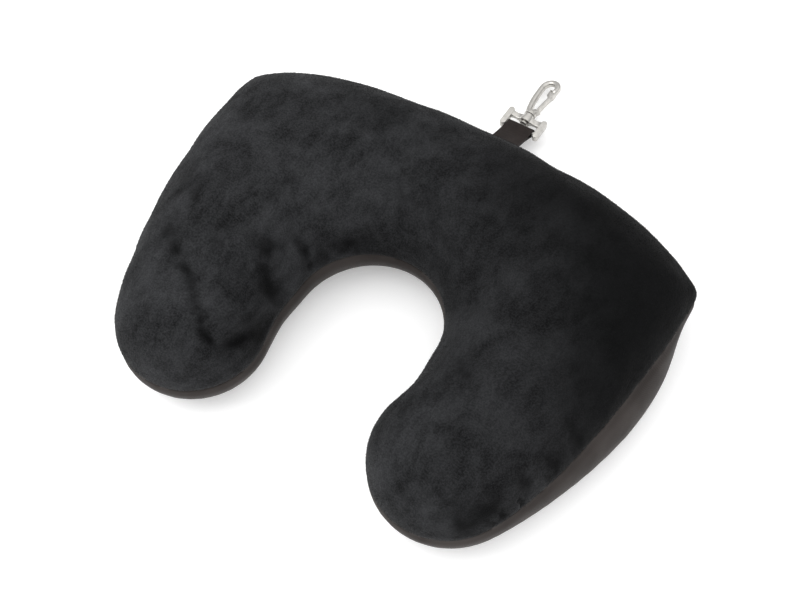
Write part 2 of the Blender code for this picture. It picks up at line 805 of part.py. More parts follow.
def build_hardware():
    """Tab, bracket, hook and gate, each carried by the one before."""
    axis_y = BACK_Y + WEBBING_THICKNESS + CLEARANCE
    seam_hinge = add_empty("seam_hinge", None, (0, axis_y, BACK_SEAM_HEIGHT), (-TAB_SLOPE, 0, 0))
    tab, eye = build_tab()
    tab.parent = seam_hinge
    eye.parent = seam_hinge
    bar_hinge = add_empty(
        "bar_hinge", seam_hinge, (0, TAB_LENGTH, 0), (TAB_SLOPE - HOOK_SLOPE, 0, 0)
    )
    build_bracket(bar_hinge)
    swivel = add_empty("swivel_axis", bar_hinge, (0, 0, 0), (0, HOOK_TURN, 0))
    build_hook(swivel)
    build_gate(swivel)
    return seam_hinge


def shown_corners():
    """World corners of every shown piece's bounding box, at rest."""
    bpy.context.view_layer.update()
    found = []
    graph = bpy.context.evaluated_depsgraph_get()
    for piece in bpy.context.scene.objects:
        if piece.type == "MESH" and not piece.hide_render:
            mesh = piece.evaluated_get(graph).to_mesh()
            found += [piece.matrix_world @ vertex.co for vertex in mesh.vertices]
    return found


def stand_on_origin():
    """Put the middle of the whole object's footprint on the origin."""
    corners = shown_corners()
    low = Vector([min(corner[k] for corner in corners) for k in range(3)])
    high = Vector([max(corner[k] for corner in corners) for k in range(3)])
    shift = Vector(((low.x + high.x) / -2, (low.y + high.y) / -2, -low.z))
    for piece in bpy.context.scene.objects:
        if piece.parent is None:
            piece.location += shift
    bpy.context.view_layer.update()


def main():
    for piece in list(bpy.data.objects):
        bpy.data.objects.remove(piece, do_unlink=True)
    build_top_panel()
    build_underside_panel()
    build_liner()
    build_fill()
    build_tail()
    build_hardware()
    stand_on_origin()


main()
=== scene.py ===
"""U-shaped travel pillow: plush top, knit underside, webbing tab and swivel snap hook."""

import json
import math

import bmesh
import bpy
import numpy as np
from bpy.props import FloatProperty, FloatVectorProperty, IntProperty, PointerProperty
from mathutils import Matrix, Vector, noise


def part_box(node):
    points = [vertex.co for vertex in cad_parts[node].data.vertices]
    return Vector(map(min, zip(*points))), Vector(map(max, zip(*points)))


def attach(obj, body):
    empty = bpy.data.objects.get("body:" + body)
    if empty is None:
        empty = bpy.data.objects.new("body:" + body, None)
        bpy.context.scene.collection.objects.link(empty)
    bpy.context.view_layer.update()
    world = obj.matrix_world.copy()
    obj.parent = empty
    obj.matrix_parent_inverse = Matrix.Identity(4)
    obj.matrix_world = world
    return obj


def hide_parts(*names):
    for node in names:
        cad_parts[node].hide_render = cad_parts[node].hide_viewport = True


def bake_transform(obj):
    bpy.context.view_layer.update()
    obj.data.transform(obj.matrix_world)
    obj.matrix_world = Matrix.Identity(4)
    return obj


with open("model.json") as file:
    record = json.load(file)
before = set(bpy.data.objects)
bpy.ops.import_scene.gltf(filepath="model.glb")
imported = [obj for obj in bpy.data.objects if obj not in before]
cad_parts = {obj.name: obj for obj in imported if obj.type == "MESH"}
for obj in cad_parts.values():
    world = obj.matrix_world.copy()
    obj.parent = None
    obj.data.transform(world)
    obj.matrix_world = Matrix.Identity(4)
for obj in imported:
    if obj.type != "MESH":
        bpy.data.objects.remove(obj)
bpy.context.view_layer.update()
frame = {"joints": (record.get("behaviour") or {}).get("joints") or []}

bl_info = {
    "name": "Travel Pillow",
    "version": (1, 0, 0),
    "blender": (4, 5, 0),
    "location": "View3D > Sidebar > Pillow",
    "description": "Sews, stuffs and finishes a U-shaped travel pillow with a snap hook",
    "category": "Object",
}

TOP_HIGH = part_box("plush_top_panel")[1]
JOINTS = {joint["name"]: joint for joint in frame["joints"]}
SEAM_HINGE = Vector(JOINTS["tab_fold"]["pos_m"])
BAR_HINGE = Vector(JOINTS["bracket_pivot"]["pos_m"])
STEM_AXIS = Vector(JOINTS["hook_swivel"]["axis"])
GATE_HINGE = Vector(JOINTS["gate_flex"]["pos_m"])
GATE_AXIS = Vector(JOINTS["gate_flex"]["axis"])


# ---------------------------------------------------------------- properties


def length(name, description, default):
    return FloatProperty(name=name, description=description, default=default, unit="LENGTH", precision=5)


def angle(name, description, default):
    return FloatProperty(name=name, description=description, default=default, subtype="ANGLE")


def share(name, description, default):
    return FloatProperty(name=name, description=description, default=default, subtype="FACTOR")


def colour(name, description, default):
    return FloatVectorProperty(
        name=name, description=description, default=default, size=3, subtype="COLOR", min=0, max=1
    )


class PillowSizes(bpy.types.PropertyGroup):
    """The sewn outline, seen from above, and the heights of the pillow."""

    back: length("Back", "Where the back seam crosses the middle", TOP_HIGH[1])
    corner_x: length("Corner reach", "Back corner, from the middle", 0.170)
    corner_back: length("Corner drop", "Back corner, behind the back's middle", 0.039)
    corner_arrive: angle("Corner arrival", "Heading of the seam into the corner", math.radians(-37.5))
    corner_leave: angle("Corner leaving", "Heading of the seam out of the corner", math.radians(-81))
    back_pull: length("Back pull", "Curve handle at the back's middle", 0.073)
    corner_pull: length("Corner pull", "Curve handle into the corner", 0.055)
    side_pull: length("Side pull", "Curve handle out of the corner", 0.042)
    lobe_pull: length("Lobe pull", "Curve handle into the lobe", 0.057)
    lobe_x: length("Lobe place", "Centre of a lobe, from the middle", 0.0947)
    lobe_back: length("Lobe distance", "Centre of a lobe, from the back", 0.2147)
    lobe_radius: length("Lobe radius", "Radius of a lobe's round end", 0.0498)
    lobe_outer: angle("Lobe start", "Where the outer side meets the lobe", math.radians(-30))
    lobe_inner: angle("Lobe end", "Where the neck side leaves the lobe", math.radians(-192.5))
    lobe_inner_pull: length("Inner pull", "Curve handle out of the lobe", 0.031)
    neck_pull: length("Neck pull", "Curve handle into the neck opening", 0.0185)
    neck_back: length("Neck distance", "Centre of the neck opening, from the back", 0.1587)
    neck_radius: length("Neck radius", "Radius of the neck opening", 0.049)
    top: length("Top height", "Height of the crown", TOP_HIGH[2])
    seam: length("Seam height", "Height of the seam at the neck and the lobes", 0.030)
    back_seam: length("Back seam height", "Height of the seam along the back", 0.025)
    seam_rise: length("Seam rise", "Distance over which the seam climbs", 0.110)
    side_rise: length("Side rise", "Further height of the seam on the outer sides", 0.012)
    side_bulge: length("Side bulge", "How far the outer sides swell past the seam", 0.0155)
    side_x: length("Side place", "Middle of an outer side, from the middle", 0.167)
    side_back: length("Side distance", "Middle of an outer side, from the back", 0.128)
    side_reach: length("Side reach", "How far the fuller part of a side reaches", 0.088)
    bulge: length("Wall bulge", "How far the rest of the wall swells", 0.001)
    base_inset: length("Base inset", "How far in the flat underside starts", 0.033)
    corner_inset: length("Corner inset", "Further inset under the back corners", 0.012)
    corner_reach: length("Corner pinch", "Reach of the pinched corners", 0.034)
    plush: length("Plush thickness", "Thickness of the plush panel", 0.0022)
    knit: length("Knit thickness", "Thickness of the knit panel", 0.0014)


class StuffingSizes(bpy.types.PropertyGroup):
    """How the cover is stuffed."""

    voxel: length("Voxel", "Mesh size while the cover is stuffed", 0.0038)
    pressure: FloatProperty(name="Pressure", description="Push of the beads", default=2.5)
    slack: share("Slack", "Spare cloth between the seams", 0.012)
    frames: IntProperty(name="Frames", description="Length of the cloth simulation", default=20)
    most: length("Furthest", "Cap on how far the cloth may move", 0.006)
    evening: IntProperty(name="Evening", description="Rounds that even the cloth's moves out", default=12)


class PileSizes(bpy.types.PropertyGroup):
    """The short pile that stands out of the plush."""

    per_area: FloatProperty(name="Density", description="Tufts per square metre", default=380000)
    long: length("Tuft length", "Length of a tuft", 0.0006)
    wide: length("Tuft width", "Radius of a tuft's root", 0.00017)
    lean: FloatProperty(name="Lean", description="How far brushing lays the pile over", default=1.1)
    seed: IntProperty(name="Seed", description="Scatter of the tufts", default=4)


class WebbingSizes(bpy.types.PropertyGroup):
    """The webbing loop that holds the bracket's bar."""

    wide: length("Width", "Width of the webbing", 0.020)
    thick: length("Thickness", "Thickness of one layer", 0.0012)
    tail: length("Tail", "Length sewn in between the panels", 0.008)
    splay: length("Splay", "The layers part this far from the bar", 0.009)
    wrap: length("Wrap", "Radius of the fold round the bar", 0.0025)
    thread: length("Thread", "Spacing of the crossing threads", 0.00105)


class HardwareSizes(bpy.types.PropertyGroup):
    """The swivel bracket and the snap hook, measured from the bracket's bar."""

    bar: length("Bar", "Radius of the bar", 0.0016)
    rail_x: length("Rail place", "Middle of a rail, from the middle", 0.0130)
    rail_wide: length("Rail width", "Width of a rail", 0.0042)
    rail_deep: length("Rail depth", "Depth of a rail", 0.0046)
    rail_low: length("Rail low end", "Centre of a rail's lower round end", -0.0017)
    rail_high: length("Rail high end", "Centre of a rail's upper round end", 0.0111)
    cross_low: length("Crossbar bottom", "Lower face of the crossbar", 0.0063)
    cross_high: length("Crossbar top", "Upper face of the crossbar", 0.0116)
    cross_deep: length("Crossbar depth", "Depth of the crossbar", 0.0042)
    scoop: length("Scoop", "Depth of the crossbar's hollows", 0.0009)
    boss: length("Boss", "Radius of the boss", 0.0041)
    boss_top: length("Boss top", "Upper face of the boss", 0.0128)
    stem: length("Stem", "Radius of the hook's stem", 0.0016)
    head: length("Head", "Radius of the stem's riveted head", 0.0027)
    collar: length("Collar", "Radius of the collar", 0.0043)
    collar_low: length("Collar bottom", "Lower face of the collar", 0.0131)
    collar_high: length("Collar top", "Upper face of the collar", 0.0153)
    loop: length("Loop", "Half width of the loop, to the middle of its band", 0.0060)
    loop_top: length("Loop top", "Centre of the loop's round end", 0.0430)
    band: length("Band", "Thickness of the loop's band", 0.0044)
    band_deep: length("Band depth", "Depth of the loop's band", 0.0046)
    nose: length("Nose", "Thickness of the band's nose", 0.0035)
    nose_long: length("Nose length", "Length of the nose below the round end", 0.0042)
    gate_x: length("Gate place", "Root of the gate, across", 0.0036)
    gate_y: length("Gate height", "Root of the gate, along", 0.0200)
    gate_arm: length("Gate arm", "Thickness of the gate's arm", 0.0019)
    gate_deep: length("Gate depth", "Depth of the gate", 0.0040)
    gate_head: length("Gate head", "Length of the gate's stepped head", 0.0046)
    lip: length("Lip", "Thickness of the lip behind the nose", 0.0013)
    lip_long: length("Lip length", "Length of the lip behind the nose", 0.0022)
    gap: length("Gap", "Clearance between moving pieces", 0.0003)


class Finishes(bpy.types.PropertyGroup):
    """Colours of the pillow and its hardware."""

    plush: colour("Plush", "Black plush", (0.0024, 0.0025, 0.0026))
    plush_sheen: colour("Plush sheen", "Lit pile", (0.0330, 0.0337, 0.0358))
    knit: colour("Knit", "Brownish black knit", (0.0245, 0.0208, 0.0193))
    webbing: colour("Webbing", "Brownish black webbing", (0.0125, 0.0092, 0.0082))
    metal: colour("Hardware", "Warm satin silver", (0.54, 0.525, 0.495))


class StageSettings(bpy.types.PropertyGroup):
    """Where the camera stands."""

    azimuth: angle("Azimuth", "Camera's bearing, from the front", math.radians(38.0))
    elevation: angle("Elevation", "Camera's height above the floor", math.radians(59.85))
    roll: angle("Roll", "Camera's lean", math.radians(-6.55))
    distance: length("Distance", "From the camera to what it looks at", 0.8815)
    lens: FloatProperty(name="Lens", description="Focal length in mm", default=62.9)


def set_all(target, **settings):
    for name, value in settings.items():
        setattr(target, name, value)
    return target


# ---------------------------------------------------------------- shader maths


class Wire:
    """A number on its way through a material."""

    def __init__(self, finish, socket):
        self.finish = finish
        self.socket = socket

    def call(self, operation, *inputs):
        """A Math node on the inputs, or on this number alone."""
        inputs = dict(enumerate(inputs or (self,)))
        return self.finish.node("ShaderNodeMath", {"operation": operation}, inputs)

    def __add__(self, other):
        return self.call("ADD", self, other)

    def __radd__(self, other):
        return self.call("ADD", other, self)

    def __sub__(self, other):
        return self.call("SUBTRACT", self, other)

    def __rsub__(self, other):
        return self.call("SUBTRACT", other, self)

    def __mul__(self, other):
        return self.call("MULTIPLY", self, other)

    def __rmul__(self, other):
        return self.call("MULTIPLY", other, self)

    def between(self, low, high):
        """0 below low and 1 above high, with a smooth step between."""
        settings = {"interpolation_type": "SMOOTHSTEP"}
        return self.finish.node("ShaderNodeMapRange", settings, {0: self, 1: low, 2: high})

    def blend(self, first, second):
        """first where this value is 0 and second where it is 1."""
        inputs = {0: self, 6: (*first, 1.0), 7: (*second, 1.0)}
        return self.finish.node("ShaderNodeMix", {"data_type": "RGBA"}, inputs, 2)


class Finish:
    """The nodes of a material, or of the world, under construction."""

    def __init__(self, owner, shader="Principled BSDF", **constants):
        owner.use_nodes = True
        self.owner = owner
        self.tree = owner.node_tree
        self.shader = self.tree.nodes[shader]
        for socket, value in constants.items():
            self.shader.inputs[socket.replace("_", " ")].default_value = value

    def node(self, kind, settings=None, inputs=None, output=0):
        """Add any node: its settings first, then the values or links of its sockets."""
        made = set_all(self.tree.nodes.new(kind), **(settings or {}))
        for key, value in (inputs or {}).items():
            if isinstance(value, Wire):
                self.tree.links.new(value.socket, made.inputs[key])
            else:
                made.inputs[key].default_value = value
        return Wire(self, made.outputs[output])

    def place(self, stretch=(1, 1, 1)):
        coordinates = self.node("ShaderNodeTexCoord", output=3)
        return self.node("ShaderNodeMapping", {}, {0: coordinates, 3: stretch})

    def noise(self, place, scale, detail=2.0, roughness=0.5, distortion=0.0):
        inputs = {"Vector": place, "Scale": scale, "Detail": detail}
        inputs.update({"Roughness": roughness, "Distortion": distortion})
        return self.node("ShaderNodeTexNoise", {}, inputs)

    def feed(self, socket, wire):
        self.tree.links.new(wire.socket, self.shader.inputs[socket])

    def bump(self, height, strength, distance):
        inputs = {"Strength": strength, "Distance": distance, "Height": height}
        self.feed("Normal", self.node("ShaderNodeBump", {}, inputs))


def material(name, **constants):
    return Finish(bpy.data.materials.new(name), **constants)


def plush_finish(looks):
    """Short black pile: patches laid by brushing, a lit nap and a fine grain, painted as sheen into its
    colour, with painted shade in the creases, the puckers and towards the right of the back.
    """
    finish = material("plush_pile", Sheen_Weight=0.04, Sheen_Roughness=0.4, Specular_IOR_Level=0.05)
    place = finish.place()
    patches = finish.noise(place, scale=26.0, detail=3.0, roughness=0.55, distortion=0.6)
    drawn = finish.place((1.0, 0.5, 1.0))
    streaks = finish.noise(drawn, scale=130.0, detail=4.0, roughness=0.65, distortion=0.3)
    grain = finish.noise(place, scale=900.0, roughness=0.7)
    # Painted sheen: where lit is high the plush takes its lighter, lit colour.
    lit = patches.between(0.36, 0.64) * 0.36 + streaks.between(0.28, 0.68) * 0.32
    lit = lit + grain.between(0.34, 0.68) * 0.42 + 0.04
    # Painted shade: the creases, the puckers and the right of the back pull the plush towards its dark
    # colour.
    painted_shade = finish.node("ShaderNodeAttribute", {"attribute_name": "painted_shade"}, {}, 2)
    lit = lit * (1.0 - painted_shade * 0.95)
    finish.feed("Base Color", lit.blend(looks.plush, looks.plush_sheen))
    finish.feed("Roughness", 0.98 - lit * 0.2)
    finish.bump(grain * 0.5 + streaks * 0.8, strength=0.6, distance=0.0012)
    return finish.owner


def knit_finish(looks):
    """Smooth stretch knit: fine wales and courses, slightly lit."""
    finish = material("stretch_knit", Sheen_Weight=0.12, Sheen_Roughness=0.4, Specular_IOR_Level=0.15)
    place = finish.place()
    across, along, up = (finish.node("ShaderNodeSeparateXYZ", {}, {0: place}, part) for part in range(3))
    wales = ((across + along) * 5600.0).call("SINE")
    courses = (up * 7000.0 + (across - along) * 1400.0).call("SINE")
    stitch = wales * courses * 0.5 + 0.5
    patches = finish.noise(place, scale=40.0)
    lit = patches.between(0.3, 0.75) * 0.5 + stitch * 0.3
    light = tuple(1.9 * part for part in looks.knit)
    finish.feed("Base Color", lit.blend(looks.knit, light))
    finish.feed("Roughness", 0.9 - lit * 0.15)
    finish.bump(stitch, strength=0.25, distance=0.0003)
    return finish.owner


def webbing_finish(looks):
    """Woven tape: lighter on the crowns of its threads."""
    finish = material("webbing_tape", Sheen_Weight=0.05, Specular_IOR_Level=0.12)
    place = finish.place()
    fibre = finish.noise(finish.place((1.0, 0.1, 1.0)), scale=2600.0, roughness=0.7)
    patches = finish.noise(place, scale=120.0)
    lit = fibre.between(0.3, 0.8) * 0.5 + patches.between(0.3, 0.8) * 0.3
    light = tuple(2.1 * part for part in looks.webbing)
    finish.feed("Base Color", lit.blend(looks.webbing, light))
    finish.feed("Roughness", 0.8 - lit * 0.2)
    finish.bump(fibre, strength=0.3, distance=0.0002)
    return finish.owner


def metal_finish(looks):
    """Satin silver plating with soft handling marks."""
    finish = material("satin_plating", Metallic=1.0)
    place = finish.place()
    marks = finish.noise(place, scale=320.0, detail=4.0, roughness=0.65)
    grain = finish.noise(place, scale=4200.0, roughness=0.6)
    dull = marks.between(0.35, 0.75)
    worn = tuple(0.80 * part for part in looks.metal)
    finish.feed("Base Color", dull.blend(looks.metal, worn))
    finish.feed("Roughness", 0.24 + dull * 0.12 + grain * 0.05)
    finish.bump(grain * 0.4 + marks * 0.3, strength=0.12, distance=0.0002)
    return finish.owner


# ---------------------------------------------------------------- outline and body


def heading(turn):
    return np.array((math.cos(turn), math.sin(turn)))


def clockwise(turn):
    return np.array((math.sin(turn), -math.cos(turn)))


def bezier(start, start_handle, end_handle, end, count=80):
    t = np.linspace(0, 1, count)[:, None]
    s = 1 - t
    return s**3 * start + 3 * s * s * t * start_handle + 3 * s * t * t * end_handle + t**3 * end


def arc(centre, radius, first, last, count=60):
    turn = np.linspace(first, last, count)
    return centre + radius * np.column_stack((np.cos(turn), np.sin(turn)))


def evenly(line, count):
    steps = np.linalg.norm(np.diff(line, axis=0), axis=1)
    run = np.concatenate(([0], np.cumsum(steps)))
    places = np.linspace(0, run[-1], count)
    return np.column_stack([np.interp(places, run, line[:, k]) for k in range(2)])


def smooth(value):
    value = np.clip(value, 0, 1)
    return value * value * (3 - 2 * value)


class Outline:
    """The seam line and its spine, right round the pillow."""

    SIDE = 110
    LOBE = 46

    def __init__(self, sizes):
        self.sizes = sizes
        self.corner = np.array((sizes.corner_x, sizes.back - sizes.corner_back))
        self.lobe = np.array((sizes.lobe_x, sizes.back - sizes.lobe_back))
        self.neck = np.array((0.0, sizes.back - sizes.neck_back))
        outer = evenly(self.outer_line(), self.SIDE)
        inner = evenly(self.inner_line(), self.SIDE)
        spine = (outer + inner) / 2
        lobe = arc(self.lobe, sizes.lobe_radius, sizes.lobe_outer, sizes.lobe_inner, self.LOBE)[1:-1]
        edge = np.vstack((outer, lobe, inner[::-1]))
        facing = np.vstack((spine, np.repeat(spine[-1:], len(lobe), axis=0), spine[::-1]))
        mirror = np.array((-1.0, 1.0))
        self.edge = np.vstack((edge, edge[-2:0:-1] * mirror))
        self.spine = np.vstack((facing, facing[-2:0:-1] * mirror))
        gap = self.spine - self.edge
        self.width = np.linalg.norm(gap, axis=1)
        self.inward = gap / self.width[:, None]
        self.height = seam_height(sizes, self.edge)
        step = np.linalg.norm(np.diff(self.edge, axis=0, append=self.edge[:1]), axis=1)
        self.run = np.concatenate(([0], np.cumsum(step)[:-1]))
        reach = np.abs(self.edge) * (1, 0) + self.edge * (0, 1) - self.corner
        self.pinch = np.exp(-(np.sum(reach**2, axis=1) / sizes.corner_reach**2))

    def outer_line(self):
        sizes = self.sizes
        middle = np.array((0.0, sizes.back))
        back = bezier(
            middle,
            middle + (sizes.back_pull, 0),
            self.corner - heading(sizes.corner_arrive) * sizes.corner_pull,
            self.corner,
        )
        end = self.lobe + heading(sizes.lobe_outer) * sizes.lobe_radius
        side = bezier(
            self.corner,
            self.corner + heading(sizes.corner_leave) * sizes.side_pull,
            end - clockwise(sizes.lobe_outer) * sizes.lobe_pull,
            end,
        )
        return np.vstack((back, side[1:]))

    def inner_line(self):
        sizes = self.sizes
        neck = arc(self.neck, sizes.neck_radius, math.pi / 2, 0)
        end = self.lobe + heading(sizes.lobe_inner) * sizes.lobe_radius
        inner = bezier(
            neck[-1],
            neck[-1] - (0, sizes.neck_pull),
            end + clockwise(sizes.lobe_inner) * sizes.lobe_inner_pull,
            end,
        )
        return np.vstack((neck, inner[1:]))

    def ring(self, distance, height):
        place = self.edge + self.inward * np.reshape(distance, (-1, 1))
        return np.column_stack((place, np.broadcast_to(height, len(place))))


def side_swell(sizes, points):
    """One at the middle of an outer side, falling to nothing round the seam."""
    away = np.hypot(np.abs(points[:, 0]) - sizes.side_x, points[:, 1] - sizes.back + sizes.side_back)
    return np.exp(-((away / sizes.side_reach) ** 2))


def seam_height(sizes, points):
    climb = smooth((sizes.back - points[:, 1]) / sizes.seam_rise)
    height = sizes.back_seam + (sizes.seam - sizes.back_seam) * climb
    return height + sizes.side_rise * side_swell(sizes, points)


def crown_rings(outline, top):
    rings = []
    count, crowding, fullness = 22, 1.6, 2.15
    for stop in np.linspace(0, 1, count) ** crowding:
        rise = (1 - (1 - stop) ** fullness) ** 0.5
        rings.append(outline.ring(outline.width * stop, outline.height + (top - outline.height) * rise))
    return rings


def wall_rings(outline):
    sizes = outline.sizes
    rings = []
    for turn in np.linspace(0, math.pi / 2, 14)[1:]:
        out = (sizes.bulge + sizes.side_bulge * side_swell(sizes, outline.edge)) * (1 - outline.pinch)
        base = sizes.base_inset + sizes.corner_inset * outline.pinch
        distance = base * (1 - math.cos(turn)) - out * math.sin(2 * turn)
        rings.append(outline.ring(distance, outline.height * (1 - math.sin(turn))))
    for part in np.linspace(0, 1, 9)[1:]:
        rings.append(outline.ring(base + (outline.width - base) * part, 0.0))
    return rings


def closed_body(name, rings):
    """One closed mesh through rings that start and end on the spine."""
    count = len(rings[0])
    points = np.vstack(rings)
    index = np.arange(count)
    after = (index + 1) % count
    faces = []
    for low in range(len(rings) - 1):
        a, b = low * count, (low + 1) * count
        faces.append(np.column_stack((a + index, a + after, b + after, b + index)))
    data = bpy.data.meshes.new(name)
    data.from_pydata(points.tolist(), [], np.vstack(faces).tolist())
    rework(data, weld)
    return show(name, data)


def rework(data, work, made=None):
    """Run a bmesh edit on a mesh, and store the outcome in it or in another mesh."""
    mesh = bmesh.new()
    mesh.from_mesh(data)
    work(mesh)
    mesh.to_mesh(made or data)
    mesh.free()


def turn_outwards(mesh):
    bmesh.ops.recalc_face_normals(mesh, faces=mesh.faces)


def weld(mesh):
    """Join the doubled points on the spine, and turn the faces outwards."""
    bmesh.ops.remove_doubles(mesh, verts=mesh.verts, dist=1e-6)
    turn_outwards(mesh)


def show(name, data):
    made = bpy.data.objects.new(name, data)
    bpy.context.scene.collection.objects.link(made)
    return made


def finished_mesh(made):
    """The object's mesh with its modifiers applied."""
    graph = bpy.context.evaluated_depsgraph_get()
    return bpy.data.meshes.new_from_object(made.evaluated_get(graph))


def bake(made):
    data = finished_mesh(made)
    made.modifiers.clear()
    made.data = data


def coordinates(data, kind="co"):
    """The places of a mesh's points, or their normals."""
    flat = np.empty(len(data.vertices) * 3)
    data.vertices.foreach_get(kind, flat)
    return flat.reshape(-1, 3)


def set_coordinates(data, points):
    data.vertices.foreach_set("co", np.ascontiguousarray(points).ravel())
    data.update()


# ---------------------------------------------------------------- stuffing


def near_seam(outline, points):
    """Distance of each point from the seam line, and the seam point it is nearest to."""
    seam = np.column_stack((outline.edge, outline.height))
    best = np.full(len(points), 1.0)
    which = np.zeros(len(points), int)
    for start in range(0, len(points), 4000):
        part = points[start : start + 4000]
        gaps = np.linalg.norm(part[:, None, :] - seam[None], axis=2)
        which[start : start + 4000] = np.argmin(gaps, axis=1)
        best[start : start + 4000] = np.min(gaps, axis=1)
    return best, which


def stuff(body, outline, stuffing):
    """Swell the cover with beads while its seam and its base hold still."""
    points = coordinates(body.data)
    distance, _ = near_seam(outline, points)
    below = seam_height(outline.sizes, points) - points[:, 2]
    hold = np.maximum(smooth(1.6 - distance / stuffing.voxel), smooth(below / 0.006))
    group = body.vertex_groups.new(name="held")
    for index in np.flatnonzero(hold > 0.01):
        group.add([int(index)], float(hold[index]), "REPLACE")
    cloth = body.modifiers.new("beads", "CLOTH")
    set_all(cloth.settings, quality=6, mass=0.2, tension_stiffness=18, compression_stiffness=18)
    set_all(cloth.settings, shear_stiffness=6, bending_stiffness=1.2, use_pressure=True)
    set_all(cloth.settings, uniform_pressure_force=stuffing.pressure, shrink_min=-stuffing.slack)
    cloth.settings.vertex_group_mass = "held"
    cloth.settings.effector_weights.gravity = 0
    cloth.collision_settings.use_collision = False
    for step in range(1, stuffing.frames + 1):
        bpy.context.scene.frame_set(step)
    moved = spread_out(body.data, coordinates(finished_mesh(body)) - points, stuffing.evening)
    body.modifiers.clear()
    body.vertex_groups.clear()
    bpy.context.scene.frame_set(1)
    far = np.linalg.norm(moved, axis=1)
    limit = stuffing.most * np.tanh(far / stuffing.most)
    points = points + moved * (limit / np.maximum(far, 1e-9))[:, None]
    points[:, 2] = np.maximum(points[:, 2], 0.0)
    set_coordinates(body.data, points)


def spread_out(data, moved, rounds):
    """Even the moves of neighbouring points out."""
    ends = np.empty(len(data.edges) * 2, int)
    data.edges.foreach_get("vertices", ends)
    first, second = ends[::2], ends[1::2]
    count = len(moved)
    links = np.bincount(first, minlength=count) + np.bincount(second, minlength=count)
    for _ in range(rounds):
        total = np.empty_like(moved)
        for axis in range(3):
            total[:, axis] = np.bincount(first, moved[second, axis], count)
            total[:, axis] += np.bincount(second, moved[first, axis], count)
        moved = (moved + total / links[:, None]) / 2
    return moved


def remesh(body, voxel):
    set_all(body.modifiers.new("remesh", "REMESH"), mode="VOXEL", voxel_size=voxel)
    body.modifiers.new("soften", "SMOOTH").iterations = 2
    bake(body)


def subdivide(body):
    set_all(body.modifiers.new("finer", "SUBSURF"), levels=1, render_levels=1)
    bake(body)


def split_at_seam(body, sizes):
    """Cut the cover along the seam surface, and return its upper and lower faces as meshes."""
    lift = coordinates(body.data)
    seam = seam_height(sizes, lift)
    set_coordinates(body.data, lift - np.outer(seam, (0, 0, 1)))
    panels = []
    for upper in (True, False):
        mesh = bmesh.new()
        mesh.from_mesh(body.data)
        bmesh.ops.bisect_plane(
            mesh,
            geom=mesh.verts[:] + mesh.edges[:] + mesh.faces[:],
            dist=0.0002,
            plane_co=(0, 0, 0),
            plane_no=(0, 0, 1),
            clear_inner=upper,
            clear_outer=not upper,
        )
        data = bpy.data.meshes.new("panel")
        mesh.to_mesh(data)
        mesh.free()
        points = coordinates(data)
        set_coordinates(data, points + np.outer(seam_height(sizes, points), (0, 0, 1)))
        panels.append(data)
    return panels


def shell(name, data, thickness, finish):
    made = show(name, data)
    data.materials.clear()
    data.materials.append(finish)
    set_all(made.modifiers.new("cloth", "SOLIDIFY"), thickness=thickness, offset=-1)
    data.shade_smooth()
    bake(made)
    made.data.shade_smooth()
    return made


def settings_of(context):
    scene = context.scene
    return scene.pillow_sizes, scene.pillow_stuffing, scene.pillow_finishes


class PILLOW_OT_cover(bpy.types.Operator):
    """Sew and stuff the cover: the plush panel and the knit underside"""

    bl_idname = "pillow.cover"
    bl_label = "Cover"

    def execute(self, context):
        sizes, stuffing, looks = settings_of(context)
        outline = Outline(sizes)
        rings = crown_rings(outline, sizes.top)[::-1] + wall_rings(outline)
        body = closed_body("cover_blank", rings)
        remesh(body, stuffing.voxel)
        stuff(body, outline, stuffing)
        subdivide(body)
        crease(body, outline)
        upper, lower = split_at_seam(body, sizes)
        bpy.data.objects.remove(body)
        plush = shell("plush_cover", upper, sizes.plush, plush_finish(looks))
        points = coordinates(plush.data)
        # Painted shade for the plush colour: the gathers, the crush marks and the right of the back.
        marks = puckers(points, outline, *near_seam(outline, points))[1]
        marks = np.maximum(marks, crush(points, sizes)[1])
        note(plush.data, "painted_shade", 1 - (1 - marks) * (1 - painted_nap_shade(points, sizes)))
        knit = shell("knit_cover", lower, sizes.knit, knit_finish(looks))
        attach(plush, "pillow")
        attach(knit, "pillow")
        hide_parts("plush_top_panel", "liner_top_panel", "bead_fill")
        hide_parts("underside_panel", "liner_underside_panel")
        return {"FINISHED"}


# Crush marks in the plush: a line in the plan, its depth, its width and how dark its painted shade is.
# Each place of a line gives the distance across from the middle and the distance from the back seam.
CREASES = (
    (((-0.129, 0.182), (-0.114, 0.197), (-0.090, 0.209), (-0.074, 0.224)), 0.0010, 0.0044, 0.9),
    (((-0.074, 0.224), (-0.058, 0.235)), 0.0016, 0.0036, 1.0),
    (((-0.058, 0.235), (-0.051, 0.218), (-0.048, 0.203), (-0.049, 0.190)), 0.0019, 0.0040, 1.0),
    (((-0.062, 0.142), (-0.056, 0.143), (-0.050, 0.149)), 0.0018, 0.0030, 1.0),
    (((-0.050, 0.149), (-0.045, 0.133), (-0.036, 0.123), (-0.024, 0.114)), 0.0018, 0.0042, 1.0),
    (((-0.073, 0.155), (-0.065, 0.168), (-0.054, 0.185)), 0.0008, 0.0064, 0.95),
    (((-0.137, 0.162), (-0.133, 0.145), (-0.122, 0.164)), 0.0004, 0.0036, 0.5),
    (((-0.098, 0.166), (-0.090, 0.178)), 0.0003, 0.0050, 0.5),
    (((0.073, 0.172), (0.090, 0.180)), 0.0006, 0.0036, 0.7),
    (((0.119, 0.252), (0.127, 0.247), (0.133, 0.236), (0.141, 0.225)), 0.0009, 0.0050, 0.9),
    (((0.141, 0.211), (0.148, 0.210)), 0.0007, 0.0046, 0.9),
    (((0.146, 0.191), (0.155, 0.189)), 0.0007, 0.0046, 0.9),
    (((0.150, 0.173), (0.160, 0.170)), 0.0006, 0.0046, 0.9),
    (((-0.022, 0.080), (-0.009, 0.098)), 0.0005, 0.0034, 0.4),
    (((-0.001, 0.077), (0.010, 0.094)), 0.0005, 0.0034, 0.4),
)


# Direction in the plan from the middle of the pillow to its right back corner.
TO_CORNER = (0.75, 0.66)


